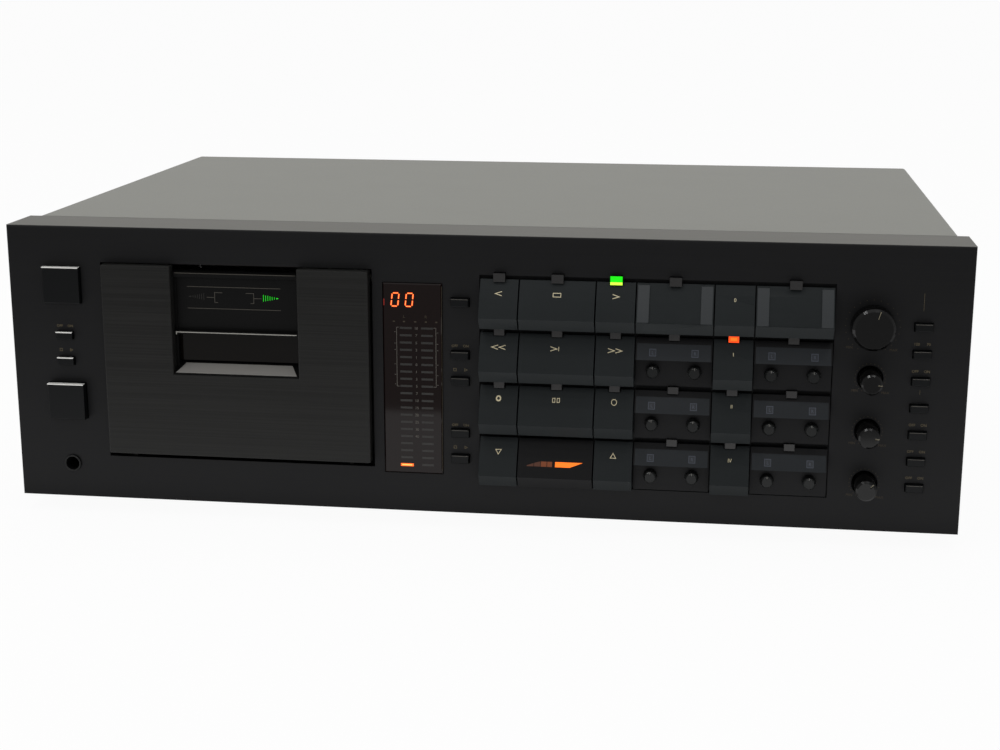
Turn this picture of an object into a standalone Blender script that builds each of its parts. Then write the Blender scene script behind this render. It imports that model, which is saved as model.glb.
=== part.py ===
"""A full-width auto-reverse cassette deck, modelled as the pieces it comes apart into.

Metres, +Z up, the front facing -Y, the origin on the floor under the middle of the deck.
Places on the front are given as on a panel drawing: across from the left edge, and as a drop
from the top edge. The front is laid out in columns, and the panel is as large as they need.
"""

import math

import bmesh
import bpy
from mathutils import Matrix, Vector

MM = 0.001

# Clearances and the length that cutters and joined shapes run past a face
CLEARANCE = 0.3 * MM
OVERRUN = 1.0 * MM
WELD = 0.001 * MM
SHARP_ANGLE = math.radians(35)

# Front panel, a shallow tray
PANEL_WALL = 2.5 * MM
PANEL_RETURN_WALL = 2.0 * MM
PANEL_RETURN_DEPTH = 30.0 * MM
PANEL_EDGE_BEVEL = 0.8 * MM
FLOOR_GAP = 8.0 * MM

# Case behind the panel
COVER_INSET = 4.0 * MM
COVER_SHEET = 1.2 * MM
COVER_BEND_RADIUS = 2.0 * MM
COVER_FRONT_GAP = 0.5 * MM
COVER_REAR = 289.0 * MM
COVER_FOOT_GAP = 0.6 * MM
CHASSIS_SHEET = 1.5 * MM
CHASSIS_FLANGE = 12.0 * MM
REAR_WALL_INSET = 8.0 * MM
VENT_WIDTH = 3.0 * MM
VENT_LENGTH = 34.0 * MM
VENT_PITCH = 9.0 * MM
VENT_COUNT = 7
VENT_ACROSS = 90.0 * MM
VENT_SETBACK = 150.0 * MM
FOOT_RADIUS = 18.0 * MM
FOOT_TAPER = 2.0 * MM
FOOT_CHAMFER = 1.5 * MM
FOOT_ACROSS = 175.0 * MM
FRONT_FOOT_SETBACK = 58.0 * MM
REAR_FOOT_MARGIN = 26.0 * MM

# Sockets on the rear wall
JACK_RADIUS = 4.15 * MM
JACK_COLLAR_RADIUS = 5.6 * MM
JACK_COLLAR_LENGTH = 1.5 * MM
JACK_LENGTH = 9.0 * MM
JACK_BORE_RADIUS = 1.6 * MM
JACK_BORE_DEPTH = 7.0 * MM
JACK_PITCH = 18.0 * MM
JACK_ACROSS = 150.0 * MM
JACK_RISE = 60.0 * MM
INLET_ACROSS = -165.0 * MM
INLET_RISE = 40.0 * MM
INLET_WIDTH = 18.0 * MM
INLET_HEIGHT = 10.0 * MM
INLET_DEPTH = 12.0 * MM
INLET_WALL = 3.0 * MM

# Left column: eject and power buttons, timer buttons, headphone socket
LEFT_MARGIN = 17.6 * MM
LARGE_BUTTON_WIDTH = 18.0 * MM
LARGE_BUTTON_HEIGHT = 17.5 * MM
LARGE_BUTTON_TRAVEL = 2.4 * MM
EJECT_DROP = 19.5 * MM
EJECT_PROUD = 3.0 * MM
POWER_DROP = 76.3 * MM
POWER_PROUD = 4.5 * MM
TIMER_DROP = 51.1 * MM
PHONES_DROP = 116.9 * MM
PHONES_FOOT_MARGIN = 17.1 * MM
PHONES_BORE_RADIUS = 3.3 * MM
PHONES_NUT_RADIUS = 4.2 * MM
PHONES_NUT_PROUD = 0.8 * MM
PHONES_BODY_RADIUS = 6.5 * MM
PHONES_BODY_DEPTH = 26.0 * MM
PHONES_BORE_DEPTH = 24.0 * MM

# Cassette door, a thick plate with a notch for the display and the window
DOOR_GAP = 11.4 * MM
DOOR_HEIGHT = 92.5 * MM
DOOR_DROP = 17.4 * MM
DOOR_FOOT_MARGIN = 24.1 * MM
DOOR_PROUD = 4.0 * MM
DOOR_THICKNESS = 5.0 * MM
DOOR_EDGE_BEVEL = 0.6 * MM
DOOR_CORNER_RADIUS = 0.8 * MM
DOOR_SIDE_GAP = 1.2 * MM
DOOR_TOP_GAP = 0.5 * MM
DOOR_SWING_GAP = 2.6 * MM
NOTCH_WIDTH = 61.0 * MM
NOTCH_HEIGHT = 52.1 * MM
HINGE_SETBACK = 7.0 * MM

# Cassette holder behind the door, with the cassette standing on its tape edge
CASSETTE_WIDTH = 100.4 * MM
CASSETTE_HEIGHT = 63.8 * MM
CASSETTE_DEPTH = 12.0 * MM
CASSETTE_PLAY = 0.4 * MM
CASSETTE_SEAT_RISE = 17.5 * MM
HUB_RISE = 35.0 * MM
HUB_PITCH = 42.5 * MM
HOLDER_SHELL = 2.0 * MM
HOLDER_SHELL_MARGIN = 8.0 * MM
HOLDER_SHELL_FLANGE = 3.0 * MM
DOOR_SIDE_MARGIN = 12.3 * MM
GUIDE_WALL = 1.6 * MM
GUIDE_LIP = 4.0 * MM
GUIDE_LIP_THICKNESS = 1.2 * MM
LEDGE_WIDTH = 12.0 * MM
LEDGE_THICKNESS = 2.0 * MM
EAR_RADIUS = 4.5 * MM
HINGE_PIN_RADIUS = 2.0 * MM
HINGE_PIN_LENGTH = 4.0 * MM
INSERT_DEPTH = 8.5 * MM
SILL_NOSE = 0.4 * MM
SILL_RISE = 4.4 * MM
WINDOW_HEIGHT = 13.8 * MM
WINDOW_SETBACK = 6.0 * MM
WINDOW_REBATE = 2.0 * MM
WINDOW_LENS = 1.4 * MM
RIM_HEIGHT = 1.8 * MM
RIM_PROUD = 1.0 * MM
DISPLAY_SETBACK = 1.8 * MM
LIP_HEIGHT = 2.2 * MM
LIP_PROUD = 0.6 * MM
LIP_DROP = 3.3 * MM
INSERT_SLOPE = 0.6 * MM

# Transport behind the holder
TRANSPORT_GAP = 2.5 * MM
TRANSPORT_SHEET = 2.0 * MM
TRANSPORT_SIDE_MARGIN = 1.0 * MM
TRANSPORT_BASE_DEPTH = 25.0 * MM
BRACKET_THICKNESS = 2.0 * MM
BRACKET_HEIGHT = 13.0 * MM
HEAD_WIDTH = 12.0 * MM
HEAD_BASE_WIDTH = 28.0 * MM
HEAD_BASE_HEIGHT = 10.0 * MM
HEAD_RISE = 5.0 * MM
HEAD_REACH = 12.0 * MM
HEAD_NOSE_RADIUS = 3.0 * MM
ROLLER_RADIUS = 6.0 * MM
ROLLER_WIDTH = 7.0 * MM
ROLLER_PITCH = 52.0 * MM
ROLLER_DROP = 9.0 * MM
ROLLER_ARM_RADIUS = 3.2 * MM
CAPSTAN_RADIUS = 1.3 * MM
CAPSTAN_RISE = 1.2 * MM
CAPSTAN_LENGTH = 11.0 * MM
SPINDLE_LENGTH = 9.5 * MM
SPINDLE_HUB_RADIUS = 3.4 * MM
SPINDLE_FIN_RADIUS = 4.9 * MM
SPINDLE_FIN_WIDTH = 1.2 * MM
SPINDLE_FIN_COUNT = 6
SPINDLE_NOSE = 2.0 * MM
REEL_TABLE_RADIUS = 13.0 * MM
REEL_TABLE_THICKNESS = 1.6 * MM
SPINDLE_SHAFT_RADIUS = 1.8 * MM
SPINDLE_SHAFT_LENGTH = 6.0 * MM

# Smoked meter and counter window
METER_GAP = 6.3 * MM
METER_WIDTH = 27.8 * MM
METER_HEIGHT = 91.7 * MM
METER_DROP = 23.0 * MM
METER_FOOT_MARGIN = 19.3 * MM
METER_PROUD = 0.8 * MM
METER_BEVEL = 0.5 * MM
METER_FLANGE = 1.4 * MM

# Small push buttons, on one vertical grid
BUTTON_PITCH = 12.55 * MM
BUTTON_TRAVEL = 1.8 * MM
BUTTON_PROUD = 2.5 * MM
BUTTON_BEVEL = 0.4 * MM
BUTTON_FLANGE = 0.9 * MM
BUTTON_FLANGE_THICKNESS = 1.5 * MM
COUNTER_GAP = 4.35 * MM
COUNTER_BUTTON_WIDTH = 8.5 * MM
COUNTER_BUTTON_HEIGHT = 3.9 * MM
COUNTER_DROP = 29.4 * MM
COUNTER_GRID_PLACES = (0, 2, 3, 5, 6)
RIGHT_GAP = 8.4 * MM
RIGHT_BUTTON_WIDTH = 8.0 * MM
RIGHT_BUTTON_HEIGHT = 3.6 * MM
RIGHT_DROP = 35.0 * MM
RIGHT_MARGIN = 17.15 * MM

# Key block: wedge-shaped keys in four rows of narrow and wide columns
KEYS_GAP = 5.05 * MM
NARROW_COLUMN = 18.4 * MM
WIDE_COLUMN = 35.4 * MM
KEY_SIDE_GAP = 0.6 * MM
KEYS_DROP = 20.0 * MM
KEY_PITCH = 25.1 * MM
KEY_HEIGHT = 22.6 * MM
KEYS_FOOT_MARGIN = 16.1 * MM
KEY_ROWS = 4
FADER_ROW = 3
FADER_COLUMN = 1
KEY_TRAVEL = 2.0 * MM
KEY_TOP_PROUD = 0.5 * MM
KEY_CREST_PROUD = 9.0 * MM
KEY_CREST_DROP = 16.9 * MM
KEY_FOOT_PROUD = 5.0 * MM
KEY_FACE_BULGE = 0.5 * MM
KEY_CREST_RADIUS = 0.8 * MM
KEY_REAR = 0.5 * MM
KEY_WALL = 1.3 * MM
STEM_WIDTH = 7.0 * MM
STEM_HEIGHT = 9.0 * MM
STEM_LENGTH = 8.0 * MM
KEY_OPENING_RISE = 1.8 * MM
KEY_OPENING_FOOT = 0.7 * MM
FRAME_SHEET = 2.0 * MM
FRAME_MARGIN = 3.0 * MM
TAB_WIDTH = 5.1 * MM
TAB_RISE = 3.0 * MM
TAB_OVERLAP = 1.0 * MM
TAB_PROUD = 2.0 * MM
INSET_MARGIN = 5.2 * MM
INSET_DEPTH = 0.5 * MM

# Trimmer cells and their trimmers
BAND_DROP = 9.6 * MM
CELL_FLOOR_PROUD = 1.0 * MM
TRIMMER_DROP = 15.6 * MM
TRIMMER_OFFSET = 9.6 * MM
TRIMMER_RADIUS = 3.3 * MM
TRIMMER_LENGTH = 4.2 * MM
TRIMMER_BEVEL = 0.6 * MM
TRIMMER_SHAFT_RADIUS = 1.5 * MM
TRIMMER_SHAFT_LENGTH = 6.0 * MM

# Level knobs
KNOBS_GAP = 7.05 * MM
MASTER_RADIUS = 10.0 * MM
MASTER_PROUD = 9.5 * MM
MASTER_DROP = 37.1 * MM
MASTER_BEVEL = 1.2 * MM
SMALL_KNOB_RADIUS = 5.2 * MM
SMALL_KNOB_PROUD = 13.5 * MM
SMALL_KNOB_BEVEL = 0.9 * MM
SMALL_KNOB_DROP = 61.2 * MM
SMALL_KNOB_PITCH = 24.8 * MM
SMALL_KNOB_COUNT = 3
KNOB_TAPER = 0.4 * MM
WELL_RADIUS = 6.0 * MM
WELL_DEPTH = 5.0 * MM
WELL_WALL = 1.5 * MM
KNOB_SHAFT_RADIUS = 3.0 * MM
KNOB_SHAFT_LENGTH = 6.0 * MM
POINTER_WIDTH = 0.8 * MM
POINTER_DEPTH = 0.4 * MM
POINTER_LENGTH_SHARE = 0.45
MASTER_POINTER_DEGREES = 17.0
SMALL_POINTER_DEGREES = 93.0
OUTPUT_POINTER_DEGREES = 44.0

# How finely round shapes are cut
LARGE_ROUND_STEPS = 32
MIDDLE_ROUND_STEPS = 24
SMALL_ROUND_STEPS = 16
TRIMMER_ROUND_STEPS = 12
BEND_STEPS = 3
FACE_STEPS = 4

# Columns of the front, chained from the left edge
GUIDE_HALF = CASSETTE_WIDTH / 2 + CASSETTE_PLAY
HOLDER_HALF = GUIDE_HALF + GUIDE_WALL
DOOR_WIDTH = 2 * (HOLDER_HALF + DOOR_SIDE_MARGIN)
LEFT_CENTRE = LEFT_MARGIN + LARGE_BUTTON_WIDTH / 2
DOOR_START = LEFT_MARGIN + LARGE_BUTTON_WIDTH + DOOR_GAP
DOOR_CENTRE = DOOR_START + DOOR_WIDTH / 2
METER_START = DOOR_START + DOOR_WIDTH + METER_GAP
METER_CENTRE = METER_START + METER_WIDTH / 2
COUNTER_START = METER_START + METER_WIDTH + COUNTER_GAP
COUNTER_CENTRE = COUNTER_START + COUNTER_BUTTON_WIDTH / 2
KEYS_START = COUNTER_START + COUNTER_BUTTON_WIDTH + KEYS_GAP
KEY_COLUMNS = (NARROW_COLUMN, WIDE_COLUMN) * 3
KEYS_WIDTH = sum(KEY_COLUMNS)
KNOBS_CENTRE = KEYS_START + KEYS_WIDTH + KNOBS_GAP + MASTER_RADIUS
RIGHT_START = KNOBS_CENTRE + MASTER_RADIUS + RIGHT_GAP
RIGHT_CENTRE = RIGHT_START + RIGHT_BUTTON_WIDTH / 2
PANEL_WIDTH = RIGHT_START + RIGHT_BUTTON_WIDTH + RIGHT_MARGIN

# The panel is as tall as its tallest column
KEYS_FOOT = KEYS_DROP + (KEY_ROWS - 1) * KEY_PITCH + KEY_HEIGHT
PANEL_HEIGHT = max(
    KEYS_FOOT + KEYS_FOOT_MARGIN,
    DOOR_DROP + DOOR_HEIGHT + DOOR_FOOT_MARGIN,
    METER_DROP + METER_HEIGHT + METER_FOOT_MARGIN,
    PHONES_DROP + PHONES_FOOT_MARGIN,
)

# The deck's place: centred on the floor, measured over the knob in front and the sockets behind
REAR_WALL = COVER_REAR - REAR_WALL_INSET
REAR_FOOT_SETBACK = REAR_WALL - REAR_FOOT_MARGIN
REAR_REACH = max(COVER_REAR, REAR_WALL + JACK_COLLAR_LENGTH + JACK_LENGTH)
FRONT_REACH = max(MASTER_PROUD, SMALL_KNOB_PROUD, KEY_CREST_PROUD, DOOR_PROUD)
FACE = FRONT_REACH - (FRONT_REACH + REAR_REACH) / 2
PANEL_TOP = FLOOR_GAP + PANEL_HEIGHT
PANEL_BACK = FACE + PANEL_WALL

# The door's hinge and the transport behind it
DOOR_TOP = PANEL_TOP - DOOR_DROP
DOOR_FOOT = DOOR_TOP - DOOR_HEIGHT
HINGE_DEPTH = FACE + HINGE_SETBACK
NOTCH_FOOT = DOOR_TOP - NOTCH_HEIGHT
CASSETTE_SEAT = DOOR_FOOT + CASSETTE_SEAT_RISE
CASSETTE_TOP = CASSETTE_SEAT + CASSETTE_HEIGHT
HOLDER_FRONT = FACE - DOOR_PROUD + DOOR_THICKNESS + CLEARANCE
CASSETTE_FRONT = FACE + INSERT_DEPTH
CASSETTE_BACK = CASSETTE_FRONT + CASSETTE_DEPTH + CASSETTE_PLAY
HOLDER_BACK = CASSETTE_BACK + GUIDE_LIP_THICKNESS
TRANSPORT_FACE = HOLDER_BACK + TRANSPORT_GAP
HUB_HEIGHT = CASSETTE_SEAT + HUB_RISE
FRAME_FACE = PANEL_BACK + CLEARANCE
PAN_TOP = FLOOR_GAP + PANEL_RETURN_WALL + CLEARANCE + CHASSIS_SHEET


def across(place):
    """X of a place measured from the panel's left edge."""
    return place - PANEL_WIDTH / 2


def below(drop):
    """Z of a place measured down from the panel's top edge."""
    return PANEL_TOP - drop


def fillet(corners, steps=BEND_STEPS):
    """Outline of (u, v, radius) corners, each with an arc of its radius."""
    outline = []
    count = len(corners)
    for index, (u, v, radius) in enumerate(corners):
        corner = Vector((u, v))
        if not radius:
            outline.append(corner)
            continue
        before = (Vector(corners[index - 1][:2]) - corner).normalized()
        after = (Vector(corners[(index + 1) % count][:2]) - corner).normalized()
        half = before.angle(after) / 2
        centre = corner + (before + after).normalized() * radius / math.sin(half)
        start = corner + before * radius / math.tan(half) - centre
        end = corner + after * radius / math.tan(half) - centre
        turn = start.angle_signed(end)
        for step in range(steps + 1):
            outline.append(centre + Matrix.Rotation(-turn * step / steps, 2) @ start)
    apart = [point for place, point in enumerate(outline) if (point - outline[place - 1]).length > WELD]
    return [tuple(point) for point in apart]


def rectangle(left, right, bottom, top, radius=0):
    """Corners of a rectangle, for fillet or prism."""
    return fillet([
        (left, bottom, radius), (right, bottom, radius), (right, top, radius), (left, top, radius),
    ])


def prism(outline, axis, start, end):
    """Closed solid of a flat outline carried along an axis from start to end."""
    order = {"X": (2, 0, 1), "Y": (0, 2, 1), "Z": (0, 1, 2)}[axis]
    shape = bmesh.new()
    corners = [[(u, v, start)[place] for place in order] for u, v in outline]
    face = shape.faces.new([shape.verts.new(corner) for corner in corners])
    grown = bmesh.ops.extrude_face_region(shape, geom=[face])["geom"]
    way = Vector([float(place == "XYZ".index(axis)) for place in range(3)])
    moved = [item for item in grown if isinstance(item, bmesh.types.BMVert)]
    bmesh.ops.translate(shape, verts=moved, vec=way * (end - start))
    bmesh.ops.recalc_face_normals(shape, faces=shape.faces)
    return shape


def block(left, right, front, back, bottom, top):
    """Closed rectangular solid."""
    return prism(rectangle(left, right, bottom, top), "Y", front, back)


def turned(profile, steps, centre=(0, 0)):
    """Solid turned about a line along Y through centre (x, z), from (radius, y) points, front to back."""
    shape = bmesh.new()
    points = [shape.verts.new((radius, depth, 0)) for radius, depth in profile]
    edges = [shape.edges.new(pair) for pair in zip(points, points[1:])]
    bmesh.ops.spin(
        shape, geom=points + edges, cent=(0, 0, 0), axis=(0, 1, 0), dvec=(0, 0, 0),
        angle=math.tau, steps=steps, use_merge=True, use_duplicate=False,
    )
    bmesh.ops.remove_doubles(shape, verts=shape.verts, dist=WELD)
    bmesh.ops.recalc_face_normals(shape, faces=shape.faces)
    bmesh.ops.translate(shape, verts=shape.verts, vec=(centre[0], 0, centre[1]))
    return shape


def rod(centre, radius, start, end, steps):
    """Round bar along Y."""
    return turned([(0, start), (radius, start), (radius, end), (0, end)], steps, centre)


def cross_rod(depth, height, radius, left, right, steps):
    """Round bar along X."""
    shape = rod((0, 0), radius, left, right, steps)
    bmesh.ops.rotate(shape, verts=shape.verts, matrix=Matrix.Rotation(-math.pi / 2, 3, "Z"))
    bmesh.ops.translate(shape, verts=shape.verts, vec=(0, depth, height))
    return shape


def stepped(sections, centre=(0, 0)):
    """Solid through rectangles of (y, half width, half height), front to back."""
    shape = bmesh.new()
    rings = []
    for depth, half_width, half_height in sections:
        signs = ((-1, -1), (1, -1), (1, 1), (-1, 1))
        ring = [(centre[0] + i * half_width, depth, centre[1] + j * half_height) for i, j in signs]
        rings.append([shape.verts.new(point) for point in ring])
    for near, far in zip(rings, rings[1:]):
        for index in range(4):
            after = (index + 1) % 4
            shape.faces.new((near[index], near[after], far[after], far[index]))
    shape.faces.new(rings[0])
    shape.faces.new(rings[-1])
    bmesh.ops.recalc_face_normals(shape, faces=shape.faces)
    return shape


def bevelled(shape, width, chosen):
    """The solid with a bevel along each edge that chosen accepts."""
    edges = [edge for edge in shape.edges if chosen(edge)]
    bmesh.ops.bevel(shape, geom=edges, offset=width, segments=2, profile=0.5, affect="EDGES")
    return shape


def together(shapes):
    """One mesh of solids that stand clear of each other."""
    whole = bmesh.new()
    for shape in shapes:
        mesh = bpy.data.meshes.new("solid")
        shape.to_mesh(mesh)
        whole.from_mesh(mesh)
        bpy.data.meshes.remove(mesh)
    return whole


def helper(shape):
    """A hidden object that holds a solid for a Boolean."""
    mesh = bpy.data.meshes.new("helper")
    shape.to_mesh(mesh)
    obj = bpy.data.objects.new("helper", mesh)
    obj.hide_render = True
    obj.display_type = "WIRE"
    bpy.context.scene.collection.objects.link(obj)
    return obj


def mesh_of(shape, add=(), cut=()):
    """Mesh of a solid after each solid of add is joined to it and each of cut is taken away."""
    body = helper(shape)
    tools = []
    for operation, others in (("UNION", add), ("DIFFERENCE", cut)):
        for other in others:
            tools.append(helper(other))
            modifier = body.modifiers.new(operation, "BOOLEAN")
            modifier.operation = operation
            modifier.solver = "EXACT"
            modifier.object = tools[-1]
    bpy.context.view_layer.update()
    graph = bpy.context.evaluated_depsgraph_get()
    mesh = bpy.data.meshes.new_from_object(body.evaluated_get(graph))
    for obj in [body, *tools]:
        bpy.data.meshes.remove(obj.data)
    mesh.shade_smooth()
    mesh.set_sharp_from_angle(angle=SHARP_ANGLE)
    return mesh


def solid_of(shape, cut):
    """The solid with each solid of cut taken away, still open to more joining and cutting."""
    mesh = mesh_of(shape, cut=cut)
    result = bmesh.new()
    result.from_mesh(mesh)
    bpy.data.meshes.remove(mesh)
    return result


def material(name, colour, roughness, metallic=0.0):
    """Principled material of one finish."""
    made = bpy.data.materials.new(name)
    made.use_nodes = True
    surface = made.node_tree.nodes["Principled BSDF"]
    surface.inputs["Base Color"].default_value = (*colour, 1.0)
    surface.inputs["Roughness"].default_value = roughness
    surface.inputs["Metallic"].default_value = metallic
    made.diffuse_color = (*colour, 1.0)
    return made


def stand(name, mesh, finish, pivot=(0, 0, 0), local=False, parent=None):
    """Names a piece, dresses it and puts its origin at its pivot."""
    if not local:
        mesh.transform(Matrix.Translation(-Vector(pivot)))
    if not mesh.materials:
        mesh.materials.append(finish)
    obj = bpy.data.objects.new(name, mesh)
    bpy.context.scene.collection.objects.link(obj)
    obj.location = Vector(pivot) - (parent.location if parent else Vector())
    obj.parent = parent
    return obj


def push_button(name, centre, width, height, proud, travel, finish, bevel=BUTTON_BEVEL):
    """Button cap that slides through the panel, with a flange behind the panel that keeps it in."""
    half_width, half_height = width / 2, height / 2
    flange = PANEL_BACK + CLEARANCE
    sections = [
        (FACE - proud, half_width - bevel, half_height - bevel),
        (FACE - proud + bevel, half_width, half_height),
        (flange, half_width, half_height),
        (flange, half_width + BUTTON_FLANGE, half_height + BUTTON_FLANGE),
        (flange + BUTTON_FLANGE_THICKNESS, half_width + BUTTON_FLANGE, half_height + BUTTON_FLANGE),
    ]
    mesh = mesh_of(stepped(sections, centre))
    return stand(name, mesh, finish, (centre[0], FACE, centre[1]))


def button_hole(centre, width, height):
    """Cutter for a button's hole in the panel."""
    half_width, half_height = width / 2 + CLEARANCE, height / 2 + CLEARANCE
    left, bottom = centre[0] - half_width, centre[1] - half_height
    right, top = centre[0] + half_width, centre[1] + half_height
    return block(left, right, FACE - OVERRUN, PANEL_BACK + OVERRUN, bottom, top)


def large_buttons():
    """Name, centre and proud height of the eject and power buttons."""
    places = (("eject_button", EJECT_DROP, EJECT_PROUD), ("power_button", POWER_DROP, POWER_PROUD))
    return [
        (name, (across(LEFT_CENTRE), below(drop + LARGE_BUTTON_HEIGHT / 2)), proud)
        for name, drop, proud in places
    ]


def small_buttons():
    """Name, centre, width and height of every small push button."""
    timer = ("timer_mode_button", "timer_switch_button")
    counter = (
        "counter_reset_button", "memory_button", "memory_mode_button",
        "auto_record_button", "auto_record_mode_button",
    )
    right = (
        "monitor_button", "equalizer_button", "noise_reduction_button", "noise_reduction_type_button",
        "multiplex_filter_button", "subsonic_filter_button", "record_pause_button",
    )
    columns = (
        (timer, range(2), LEFT_CENTRE, TIMER_DROP, RIGHT_BUTTON_WIDTH, RIGHT_BUTTON_HEIGHT),
        (counter, COUNTER_GRID_PLACES, COUNTER_CENTRE, COUNTER_DROP, COUNTER_BUTTON_WIDTH,
         COUNTER_BUTTON_HEIGHT),
        (right, range(len(right)), RIGHT_CENTRE, RIGHT_DROP, RIGHT_BUTTON_WIDTH, RIGHT_BUTTON_HEIGHT),
    )
    found = []
    for names, places, centre, drop, width, height in columns:
        for name, place in zip(names, places):
            level = below(drop + place * BUTTON_PITCH + height / 2)
            found.append((name, (across(centre), level), width, height))
    return found


def knob_centres():
    """Centres of the master knob and the small knobs, from the top down."""
    drops = [SMALL_KNOB_DROP + place * SMALL_KNOB_PITCH for place in range(SMALL_KNOB_COUNT)]
    return [(across(KNOBS_CENTRE), below(drop)) for drop in [MASTER_DROP, *drops]]


def column_edges(column):
    """Left and right X of a key column's pitch."""
    left = across(KEYS_START) + sum(KEY_COLUMNS[:column])
    return left, left + KEY_COLUMNS[column]


def row_top(row):
    """Z of the top of a row of keys."""
    return below(KEYS_DROP + row * KEY_PITCH)


def lamp_tabs():
    """Column and row of every lamp tab of the key block."""
    by_row = ((0, 1, 2, 3, 5), range(6), range(6), (3, 4, 5))
    return [(column, row) for row, columns in enumerate(by_row) for column in columns]


def lamp_tab(column, row, margin=0):
    """Solid of a lamp tab in front of the key frame, grown by margin for a notch."""
    left, right = column_edges(column)
    centre = (left + right) / 2
    half = TAB_WIDTH / 2 + margin
    gap = KEY_PITCH - KEY_HEIGHT
    rise = TAB_RISE if row == 0 else min(TAB_RISE, gap - CLEARANCE)
    bottom = row_top(row) - TAB_OVERLAP - margin
    top = row_top(row) + rise + margin
    return block(centre - half, centre + half, FACE - TAB_PROUD, FRAME_FACE + OVERRUN, bottom, top)


def front_panel():
    """Tray of the front with every opening, the knob wells and the headphone socket's bush."""
    left, right = across(0), across(PANEL_WIDTH)
    shell = block(left, right, FACE, FACE + PANEL_RETURN_DEPTH, FLOOR_GAP, PANEL_TOP)
    def on_face(edge):
        return all(vert.co.y < FACE + WELD for vert in edge.verts)

    shell = bevelled(shell, PANEL_EDGE_BEVEL, on_face)
    inner = PANEL_RETURN_WALL
    hollow = block(
        left + inner, right - inner, PANEL_BACK, FACE + PANEL_RETURN_DEPTH + OVERRUN,
        FLOOR_GAP + inner, PANEL_TOP - inner,
    )
    master, *small = knob_centres()
    phones = (across(LEFT_CENTRE), below(PHONES_DROP))
    start = PANEL_BACK - OVERRUN
    bush = turned(
        [
            (0, FACE - PHONES_NUT_PROUD), (PHONES_NUT_RADIUS, FACE - PHONES_NUT_PROUD),
            (PHONES_NUT_RADIUS, start), (PHONES_BODY_RADIUS, start),
            (PHONES_BODY_RADIUS, FACE + PHONES_BODY_DEPTH), (0, FACE + PHONES_BODY_DEPTH),
        ],
        MIDDLE_ROUND_STEPS, phones,
    )
    cup_radius = WELL_RADIUS + WELL_WALL
    floor = FACE + WELL_DEPTH
    cups = [rod(centre, cup_radius, start, floor + WELL_WALL, MIDDLE_ROUND_STEPS) for centre in small]
    boss = rod(master, cup_radius, start, floor + WELL_WALL, MIDDLE_ROUND_STEPS)
    wells = [rod(centre, WELL_RADIUS, FACE - OVERRUN, floor, MIDDLE_ROUND_STEPS) for centre in small]
    bore = KNOB_SHAFT_RADIUS + CLEARANCE
    deep = FACE + WELL_DEPTH + WELL_WALL + OVERRUN
    bores = [rod(centre, bore, FACE - OVERRUN, deep, SMALL_ROUND_STEPS) for centre in [master, *small]]
    socket = rod(phones, PHONES_BORE_RADIUS, FACE - PHONES_NUT_PROUD - OVERRUN, FACE + PHONES_BORE_DEPTH,
                 MIDDLE_ROUND_STEPS)
    holes = [button_hole(centre, LARGE_BUTTON_WIDTH, LARGE_BUTTON_HEIGHT) for _, centre, _ in large_buttons()]
    holes += [button_hole(centre, width, height) for _, centre, width, height in small_buttons()]
    meter = (across(METER_CENTRE), below(METER_DROP + METER_HEIGHT / 2))
    holes.append(button_hole(meter, METER_WIDTH, METER_HEIGHT))
    door_left, door_right = across(DOOR_START), across(DOOR_START + DOOR_WIDTH)
    holes.append(
        block(
            door_left - DOOR_SIDE_GAP, door_right + DOOR_SIDE_GAP, FACE - OVERRUN, PANEL_BACK + OVERRUN,
            DOOR_FOOT - DOOR_SWING_GAP, DOOR_TOP + DOOR_TOP_GAP,
        )
    )
    keys_left, keys_right = across(KEYS_START), across(KEYS_START + KEYS_WIDTH)
    holes.append(
        block(
            keys_left - CLEARANCE, keys_right + CLEARANCE, FACE - OVERRUN, PANEL_BACK + OVERRUN,
            below(KEYS_FOOT + KEY_OPENING_FOOT), below(KEYS_DROP) + KEY_OPENING_RISE,
        )
    )
    notches = [lamp_tab(column, row, CLEARANCE) for column, row in lamp_tabs() if row == 0]
    cutters = [together(holes), together(notches), together(wells), together([*bores, socket])]
    tray = solid_of(shell, [hollow])
    return mesh_of(tray, add=[together([bush, boss, *cups])], cut=cutters)


def top_cover():
    """Bent sheet over the top and both sides."""
    half = PANEL_WIDTH / 2 - COVER_INSET
    foot = FLOOR_GAP + COVER_FOOT_GAP
    inner = COVER_BEND_RADIUS - COVER_SHEET
    corners = [
        (-half, foot, 0), (-half + COVER_SHEET, foot, 0),
        (-half + COVER_SHEET, PANEL_TOP - COVER_SHEET, inner),
        (half - COVER_SHEET, PANEL_TOP - COVER_SHEET, inner),
        (half - COVER_SHEET, foot, 0), (half, foot, 0),
        (half, PANEL_TOP, COVER_BEND_RADIUS), (-half, PANEL_TOP, COVER_BEND_RADIUS),
    ]
    start = FACE + PANEL_RETURN_DEPTH + COVER_FRONT_GAP
    return mesh_of(prism(fillet(corners), "Y", start, FACE + COVER_REAR))


def foot(place, setback):
    """Tapered rubber foot under the pan."""
    shape = turned(
        [
            (0, 0), (FOOT_RADIUS - FOOT_TAPER - FOOT_CHAMFER, 0), (FOOT_RADIUS - FOOT_TAPER, FOOT_CHAMFER),
            (FOOT_RADIUS, PAN_TOP - CHASSIS_SHEET / 2), (0, PAN_TOP - CHASSIS_SHEET / 2),
        ],
        MIDDLE_ROUND_STEPS,
    )
    bmesh.ops.rotate(shape, verts=shape.verts, matrix=Matrix.Rotation(math.pi / 2, 3, "X"))
    bmesh.ops.translate(shape, verts=shape.verts, vec=(place, FACE + setback, 0))
    return shape


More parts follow.
